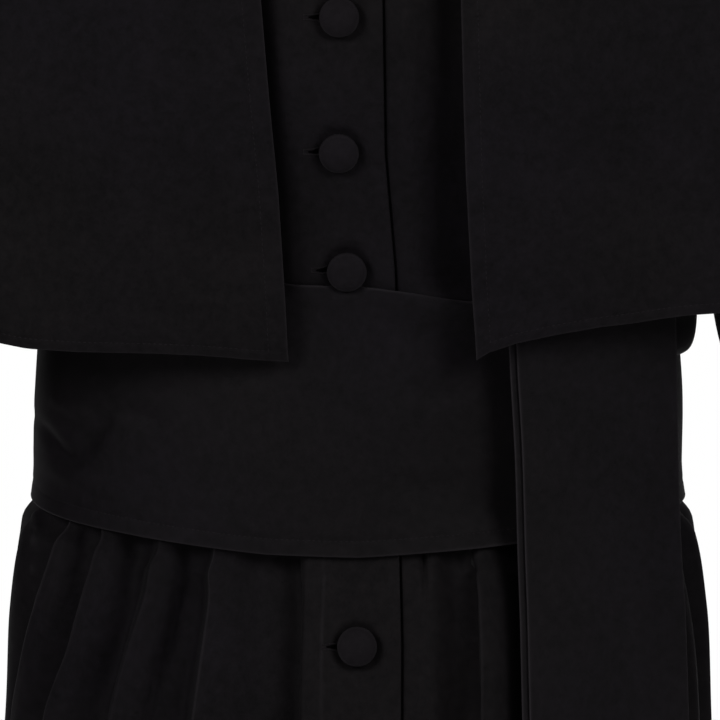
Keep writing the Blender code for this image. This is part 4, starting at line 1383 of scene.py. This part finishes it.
def makeSleeves():
    pieces = []
    t = panelRows(sleevePoint, 0.0, spans(*sleeve["rows"]), sleeve["cuffStitch"])
    parts = (
        ("sleeveTop", sleeve["backSeam"] - 360.0, sleeve["frontSeam"], sleeve["topColumns"]),
        ("sleeveUnder", sleeve["frontSeam"], sleeve["backSeam"], sleeve["underColumns"]),
    )
    for name, first, final, columns in parts:
        start, end = lapped(sleevePoint, t, first, -1.0), lapped(sleevePoint, t, final, 1.0)
        turns = panelAngles(sleevePoint, t, start, end, inner(columns))
        points = sleevePoint(t[:, None], turns)
        raised = creases(sleeveCreases, turns * 0.001, points[..., 2])[0]
        push = ripple(points, *sleeve["uneven"])
        push = push + raised * ease(t[:, None], 1.0, 1.5)
        push = push + groove(runs(points, 0)[1], sleeve["cuffStitch"])
        points, normals = pushed(points, -gridNormals(points), push)
        normals = -normals
        for side in (1.0, mirror):
            stitchRow("cuff", points * side, normals * side, 0, True, sleeve["cuffStitch"], 0.001)
        pieces.append(shell(name + "Right", points * mirror, normals * mirror))
        pieces.append(shell(name + "Left", points, normals, flip=True))
    return pieces


finishCloth(
    makeSleeves(),
    ("sleeve_top_right", "sleeve_top_left", "sleeve_under_right", "sleeve_under_left"),
    [sleeve["topCut"]] * 2 + [sleeve["underCut"]] * 2,
    ("bodice_front_right", "bodice_front_left") * 2,
)

print("sash")

sashEdges = table(
    "angle* topZ bottomZ",
    (-180, -330, -460),
    (-90, -333, -462),
    (-45, -338.5, -471),
    (-15, -341.5, -478.7),
    (0, -342.5, -479.9),
    (20, -351.5, -475.7),
    (45, -354, -469.5),
    (90, -348, -462),
    (135, -334, -460.5),
    (180, -330, -460),
)
fallForm = table(
    "z leftX rightX leftY rightY",
    (-350, 78.5, 160, -110.5, -78.5),
    (-385, 80, 160.5, -111.5, -78.5),
    (-430, 82.3, 161.2, -112, -78.5),
    (-480, 83.8, 163.1, -114, -80),
    (-520, 85.1, 165.3, -116.5, -83),
    (-600, 86.9, 167.2, -123, -90),
    (-720, 89, 169, -136, -103.5),
    (-880, 90.8, 171.2, -158.5, -126.5),
    (-1050, 92, 173, -184, -152),
)
knotForm = table(
    "angle* halfHeight thickness",
    (37, 6, 3),
    (41, 15, 7.5),
    (49, 20.5, 13.1),
    (59, 22.5, 18.6),
    (69, 22.5, 16.2),
    (79, 21, 12),
    (88, 16.5, 6.8),
    (93, 6, 2.8),
)
sash = {
    "lift": 0.0026,
    "bulge": 0.0022,
    "middle": -0.4280,
    "bulgeReach": 0.045,
    "flare": 0.0008,
    "flareFrom": (0.440, 0.020),
    "knotHeight": -0.3620,
    "knotSteps": (70, 48),
    "fallBelly": 0.0025,
    "fallWidth": 0.085,
    "underFallShift": 0.0030,
    "uneven": (51, 0.07, 0.0004),
    "fallUneven": (52, 0.10, 0.0004),
    "hemStitch": 0.0080,
    "fallStitch": 0.0200,
    "bandColumns": ((-180.0, -80.0, 48), (-80.0, 50.0, 196), (50.0, 180.0, 62)),
    "bandRows": 44,
    "fallRows": ((0.0, 6.0, 84), (6.0, 8.0, 32)),
    "fallColumns": 34,
}
# Across the front and down it, in millimetres.
bandCreases = (
    (((-163, -420), (-158, -424), (-150, -434), (-138, -438)), 3, 3.6, -2.6),
    (((-124, -410), (-134, -423), (-143, -434)), 6, 5, -3),
    (((-122, -409), (-110, -411), (-98, -414)), 4, 5, -2),
    (((-156, -406), (-145, -410), (-132, -416)), 3, 4, 1.8),
    (((-160, -440), (-146, -446), (-128, -447)), 4, 5, 1.5),
    (((-121, -451), (-105, -455), (-92, -456), (-59, -459), (-22, -461)), 0.8, 1.6, -0.7),
    (((-4, -372), (-2, -405), (-1, -426), (0, -451), (-1, -474)), 28, 8, 1.4),
    (((20, -392), (36, -398), (56, -396)), 6, 7, -1.3),
    (((14, -440), (34, -446), (60, -442)), 7, 6, -1),
    (((-80, -382), (-60, -388), (-38, -386)), 5, 7, -0.9),
    (((118, -420), (136, -428), (156, -424)), 5, 6, 2.2),
    (((126, -446), (140, -450), (158, -446)), 4, 5, -2),
)
# Angle behind the body and height, in degrees and millimetres.
bandBackCreases = (
    (((112, -372), (124, -384), (138, -386)), 5, 6, -2),
    (((104, -420), (118, -430), (134, -428)), 6, 5, -2.4),
    (((150, -400), (166, -410), (184, -408)), 6, 7, -1.8),
    (((196, -372), (214, -380), (232, -376)), 6, 5, -2),
    (((204, -428), (222, -436), (242, -430)), 5, 6, -2.2),
    (((240, -398), (252, -406), (262, -404)), 5, 5, -2),
    (((160, -440), (180, -444), (200, -441)), 4, 5, 1.2),
)


def sashPoint(degrees, z, lift=0.0):
    degrees, z = together(degrees, z)
    t = rowAt(bodyForm, z, degrees, armpitRow, hemRow)
    lift = lift + sash["lift"] + sash["bulge"] * bell(z - sash["middle"], sash["bulgeReach"])
    lift = lift + sash["flare"] * ease(-z, *sash["flareFrom"])
    return bodyRing(t, degrees) + outward(bodyRing, t, degrees) * lift[..., None]


def makeBand():
    degrees = spans(*sash["bandColumns"])[:-1]
    top = np.interp(degrees, sashEdges["angle"], sashEdges["topZ"])
    bottom = np.interp(degrees, sashEdges["angle"], sashEdges["bottomZ"])
    upper, lower = top - rimOf()[:, None], bottom + rimOf(sash["hemStitch"])[::-1, None]
    between = upper[-1] + (lower[0] - upper[-1]) * inner(sash["bandRows"])[:, None]
    z = np.concatenate([upper, between, lower])
    points = sashPoint(degrees[None], z)
    push = ripple(points, *sash["uneven"]) + pressed(points)
    raised = creases(bandCreases, points[..., 0], points[..., 2])[0]
    push = push + np.where(points[..., 1] < 0.02, raised, 0.0)
    turn = np.where(degrees < 0.0, degrees + 360.0, degrees) + 0.0 * z
    push = push + creases(bandBackCreases, turn * 0.001, points[..., 2])[0]
    push = push + groove(runs(points, 0)[1], sash["hemStitch"])
    points, normals = pushed(points, gridNormals(points, True), push, closed=True)
    loop = [join(v, v[:, :1]) for v in (points, normals)]
    stitchRow("sash", *loop, 0, True, sash["hemStitch"])
    return shell("sashBand", points, normals, closed=True, edgeHighlight=0.6)


finishPiece(
    makeBand(), sashCloth, "sash_cloth", ["sash_band"],
    flat=(0.90, 0.125), held="stretched", rests_on=["bodice_front_right", "bodice_front_left"],
)


def makeKnot():
    rows, columns = sash["knotSteps"]
    t = spans((0.0, len(knotForm["angle"]) - 1.0, rows))
    turn = np.radians(spans((0.0, 360.0, columns))[:-1])
    degrees, high, thick = (along(values, t)[:, None] for values in knotForm.values())
    z = sash["knotHeight"] + high * np.sin(turn)
    lift = seam["layerGap"] + 0.5 * thick * (1.0 + np.cos(turn))
    points = sashPoint(np.broadcast_to(degrees, z.shape), z, lift)
    index = np.arange(z.size).reshape(z.shape)
    faces = quadsOf(index, closed=True).tolist() + [index[0].tolist(), index[-1][::-1].tolist()]
    left = runs(points, 0)[0].mean(axis=1)
    flat = np.stack(np.broadcast_arrays(left[:, None], 0.02 * turn[None]), -1).reshape(-1, 2)
    return clothPiece("sashKnot", points.reshape(-1, 3).tolist(), faces, flat)


finishPiece(makeKnot(), sashCloth, "sash_cloth", ["sash_knot"])

# Across the front and down it, in millimetres.
fallCreases = (
    (((97, -372), (98, -420), (99, -480), (99, -560), (101, -640)), 0.9, 2.2, 0.35),
    (((140, -395), (143, -470), (146, -560)), 8, 12, 0.7),
    (((120, -560), (122, -680), (118, -800)), 10, 10, -0.9),
    (((150, -700), (150, -820), (152, -940)), 8, 9, -1),
    (((104, -820), (108, -920), (106, -1020)), 8, 7, 0.9),
    (((95, -700), (130, -706), (165, -702)), 5, 5, -0.3),
)


def fallPoint(t, share, behind, shift):
    t, share = together(t, share)
    form = {name: along(values, t) for name, values in fallForm.items()}
    left = np.stack([form["leftX"], form["leftY"]], axis=-1)
    across = np.stack([form["rightX"], form["rightY"]], axis=-1) - left
    facing = unit(np.stack([across[..., 1], -across[..., 0]], axis=-1))
    belly = sash["fallBelly"] * 4.0 * share * (1.0 - share) - behind
    flat = left + across * share[..., None] + facing * belly[..., None] - unit(across) * shift
    return np.concatenate([flat, form["z"][..., None]], axis=-1)


def makeFall(name, behind, shift):
    surface = lambda t, share: fallPoint(t, share, behind, shift)
    t = panelRows(surface, 0.5, spans(*sash["fallRows"]), sash["fallStitch"])
    rim = rimOf() / sash["fallWidth"]
    middle = spans((rim[-1], 1.0 - rim[-1], sash["fallColumns"]))[1:-1]
    points = surface(t[:, None], np.concatenate([rim, middle, 1.0 - rim[::-1]])[None])
    push = ripple(points, *sash["fallUneven"])
    push = push + creases(fallCreases, points[..., 0], points[..., 2])[0]
    push = push + groove(runs(points, 0)[1], sash["fallStitch"])
    points, normals = pushed(points, gridNormals(points), push)
    stitchRow("sash", points, normals, 0, True, sash["fallStitch"], 0.002)
    return shell(name, points, normals, edgeHighlight=0.8)


upperFall = makeFall("sashFallUpper", 0.0, 0.0)
underFall = makeFall("sashFallUnder", seam["cloth"] + seam["layerGap"], sash["underFallShift"])
for piece, node in ((upperFall, "sash_fall_upper"), (underFall, "sash_fall_under")):
    finishPiece(
        piece, sashCloth, "sash_cloth", [node],
        flat=(0.087, 0.705), held="hung", rests_on=["sash_knot"],
    )

print("buttons")


def buttonPlaces():
    z = buttonHeights()
    t = rowAt(bodyForm, z, 0.0, 0, hemRow)
    degrees = angleOfX(bodyForm, t, buttonX(z))
    normals = outward(bodyRing, t, degrees)
    lift = button["shank"] + 1.5 * seam["halfGap"]
    return bodyPoint(t, degrees) + normals * lift, normals


# A tree of geometry nodes with named sizes; it grows its pieces on the points it is given.
class Growth(Tree):
    def __init__(self, name, sizes):
        self.tree = bpy.data.node_groups.new(name, "GeometryNodeTree")
        face = self.tree.interface
        self.ids = {}
        face.new_socket("Geometry", in_out="INPUT", socket_type="NodeSocketGeometry")
        for label, value in sizes.items():
            socket = face.new_socket(label, in_out="INPUT", socket_type="NodeSocketFloat")
            socket.default_value = value
            self.ids[label] = socket.identifier
        face.new_socket("Geometry", in_out="OUTPUT", socket_type="NodeSocketGeometry")
        start = Socket(self, self.tree.nodes.new("NodeGroupInput").outputs[0])
        self.points = start
        self.sizes = {label: start.also(label) for label in sizes}

    def shape(self, kind, **values):
        return self.add("GeometryNode" + kind, None, values)

    def xyz(self, *values):
        return self.add("ShaderNodeCombineXYZ", None, dict(enumerate(values)))

    def facing(self, primary, secondary, along):
        settings = {"data_type": "FLOAT_VECTOR"}
        out = self.add("GeometryNodeInputNamedAttribute", settings, {"Name": "facing"})
        first, second = (out, along) if primary == "Z" else (along, out)
        settings = {"primary_axis": primary, "secondary_axis": secondary}
        values = {"Primary Axis": first, "Secondary Axis": second}
        return self.add("FunctionNodeAxesToRotation", settings, values)

    def finish(self, points, instance, rotation, material):
        grown = self.shape("InstanceOnPoints", Points=points, Instance=instance, Rotation=rotation)
        real = self.shape("RealizeInstances", Geometry=grown)
        soft = self.shape("SetShadeSmooth", Geometry=real)
        dressed = self.shape("SetMaterial", Geometry=soft, Material=material)
        self.plug(dressed, self.tree.nodes.new("NodeGroupOutput").inputs[0])
        return self


def grow(name, growth, places, edges, facings, sizes):
    mesh = meshOf(name, [tuple(p) for p in places], edges, [])
    facing = mesh.attributes.new("facing", "FLOAT_VECTOR", "POINT")
    facing.data.foreach_set("vector", np.asarray(facings, np.float32).ravel())
    seedling = put(name, mesh)
    modifier = seedling.modifiers.new("growth", "NODES")
    modifier.node_group = growth.tree
    for label, value in sizes.items():
        modifier[growth.ids[label]] = value
    seen = seedling.evaluated_get(bpy.context.evaluated_depsgraph_get())
    grown = bpy.data.meshes.new_from_object(seen)
    seedling.modifiers.remove(modifier)
    seedling.data = grown
    grown.name = name
    if "facing" in grown.attributes:
        grown.attributes.remove(grown.attributes["facing"])
    return seedling


def buttonTree(sizes, material):
    growth = Growth("clothButton", sizes)
    radius, dome, shank, stemRadius = growth.sizes.values()
    ball = growth.shape("MeshUVSphere", Segments=28, Rings=18, Radius=radius)
    x = growth.add("ShaderNodeSeparateXYZ", None, {0: growth.shape("InputPosition")})
    share = x.also(2).maths("DIVIDE", radius)
    place = growth.xyz(x, x.also(1), share.maths("MAXIMUM", button["underside"]) * dome)
    ball = growth.shape("SetPosition", Geometry=ball, Position=place)
    # Painted highlight: a light ring just above the button's rim, stored for its material to
    # lighten.
    near = (share - 0.12).maths("ABSOLUTE")
    settings = {"operation": "MULTIPLY_ADD", "use_clamp": True}
    paintedShine = growth.add("ShaderNodeMath", settings, {0: near, 1: -5.0, 2: 0.4})
    values = {"Geometry": ball, "Name": "paintedShine", "Value": paintedShine}
    ball = growth.add("GeometryNodeStoreNamedAttribute", {"data_type": "FLOAT"}, values)
    stem = growth.shape("MeshCylinder", Vertices=12, Radius=stemRadius, Depth=shank)
    down = growth.xyz(0.0, 0.0, shank * -0.5)
    stem = growth.shape("Transform", Geometry=stem, Translation=down)
    both = growth.shape("JoinGeometry", Geometry=ball)
    growth.plug(stem, both.socket.node.inputs[0])
    return growth.finish(growth.points, both, growth.facing("Z", "X", (1.0, 0.0, 0.0)), material)


def stitchTree(name, sizes, material):
    growth = Growth(name, sizes)
    pitch, *bead = growth.sizes.values()
    line = growth.shape("MeshToCurve", Mesh=growth.points)
    values = {"Curve": line, "Length": pitch}
    line = growth.add("GeometryNodeResampleCurve", {"mode": "LENGTH"}, values)
    ball = growth.shape("MeshUVSphere", Segments=6, Rings=4, Radius=0.5)
    ball = growth.shape("Transform", Geometry=ball, Scale=growth.xyz(*bead))
    rotation = growth.facing("X", "Z", growth.shape("InputTangent"))
    return growth.finish(line, ball, rotation, material)


buttonClothPaintedLight = weave("buttonClothPaintedLight", buttonLookPaintedLight, (0.80, 0.60))
places, facings = buttonPlaces()
sizes = {
    "Radius": button["radius"],
    "Dome": button["dome"],
    "Shank": button["shank"] + press["dimple"],
    "Shank radius": button["shankRadius"],
}
buttons = grow("buttons", buttonTree(sizes, buttonClothPaintedLight), places, [], facings, sizes)
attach(buttons, "root")
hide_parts(*[f"button_{i:02d}" for i in range(1, 19)])

print("stitches and buttonholes")

thread = plain("thread", (0.0068, 0.0058, 0.0068, 1.0), 0.6, 0.04)
twist = plain("buttonholeTwist", (0.0062, 0.0053, 0.0061, 1.0), 0.6, 0.04)
# Near-black, for the sheet of painted shade laid in each buttonhole's slit.
slitPaintedShade = plain("slitPaintedShade", (0.0006, 0.0005, 0.0006, 1.0), 0.9, 0.0)
stitch = {"Pitch": 0.0027, "Along": 0.0019, "Across": 0.00038, "Height": 0.00022}
holeStitch = {"Pitch": 0.00048, "Along": 0.00042, "Across": 0.0011, "Height": 0.0004}
hole = {
    "fromButton": 0.0178,
    "toButton": 0.0085,
    "endOpening": 0.0011,
    "buttonOpening": 0.0020,
    "slitOpening": 0.0012,
    "slitFrom": 4,
    "columns": 16,
    "lift": 0.0001,
}
stitches = stitchTree("rowOfStitches", stitch, thread)
holeStitches = stitchTree("buttonholeStitches", holeStitch, twist)


def stitchPiece(name, growth, rows, sizes):
    places, facings, edges = [], [], []
    for line, facing in rows:
        first = len(places)
        places += line.tolist()
        facings += facing.tolist()
        edges += [(i, i + 1) for i in range(first, len(places) - 1)]
    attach(grow(name, growth, places, edges, facings, sizes), "root")


for part, rows in threads.items():
    stitchPiece(part + "Stitches", stitches, rows, stitch)


def makeButtonholes():
    lips, corners, faces = [], [], []
    share = np.linspace(0.0, 1.0, hole["columns"])
    reach = hole["fromButton"] + (hole["toButton"] - hole["fromButton"]) * share
    lip = hole["endOpening"] + (hole["buttonOpening"] - hole["endOpening"]) * share**1.3
    slit = hole["slitOpening"] * share**0.8
    for i, height in enumerate(buttonHeights()):
        onSkirt = i >= len(button["bodiceHeights"])
        uneven = (skirt if onSkirt else bodice)["uneven"]
        strokes = skirtCreases if onSkirt else bodiceCreases
        rows = height + np.stack([2.0 * lip, lip, slit, -slit, -lip, -2.0 * lip])
        x = buttonX(height) - reach + 0.0 * rows
        t = rowAt(bodyForm, rows, 0.0, 0, hemRow)
        angles = angleOfX(bodyForm, t, x)
        t = rowAt(bodyForm, rows, angles, 0, hemRow)
        points, normals = finishGrid(t, angles, 0.0, uneven, strokes)[:2]
        points = points + normals * hole["lift"]
        lips += [(points[1], normals[1]), (points[4], normals[4])]
        lips.append((points[[1, 4], 0], normals[[2, 2], 0]))
        # The slit is a dark sheet between the lips: painted shade where the buttonhole opens.
        sides = points[2:4, hole["slitFrom"] :]
        index = np.arange(sides[..., 0].size).reshape(2, -1) + len(corners)
        corners += sides.reshape(-1, 3).tolist()
        faces += quadsOf(index).tolist()
    stitchPiece("buttonholeEdges", holeStitches, lips, holeStitch)
    mesh = meshOf("buttonholeSlitShade", corners, [], faces)
    mesh.materials.append(slitPaintedShade)
    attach(put("buttonholeSlitShade", mesh), "root")


makeButtonholes()

newLow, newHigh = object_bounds()
sizes = {"cad": [list(cadLow), list(cadHigh)], "visual": [list(newLow), list(newHigh)]}
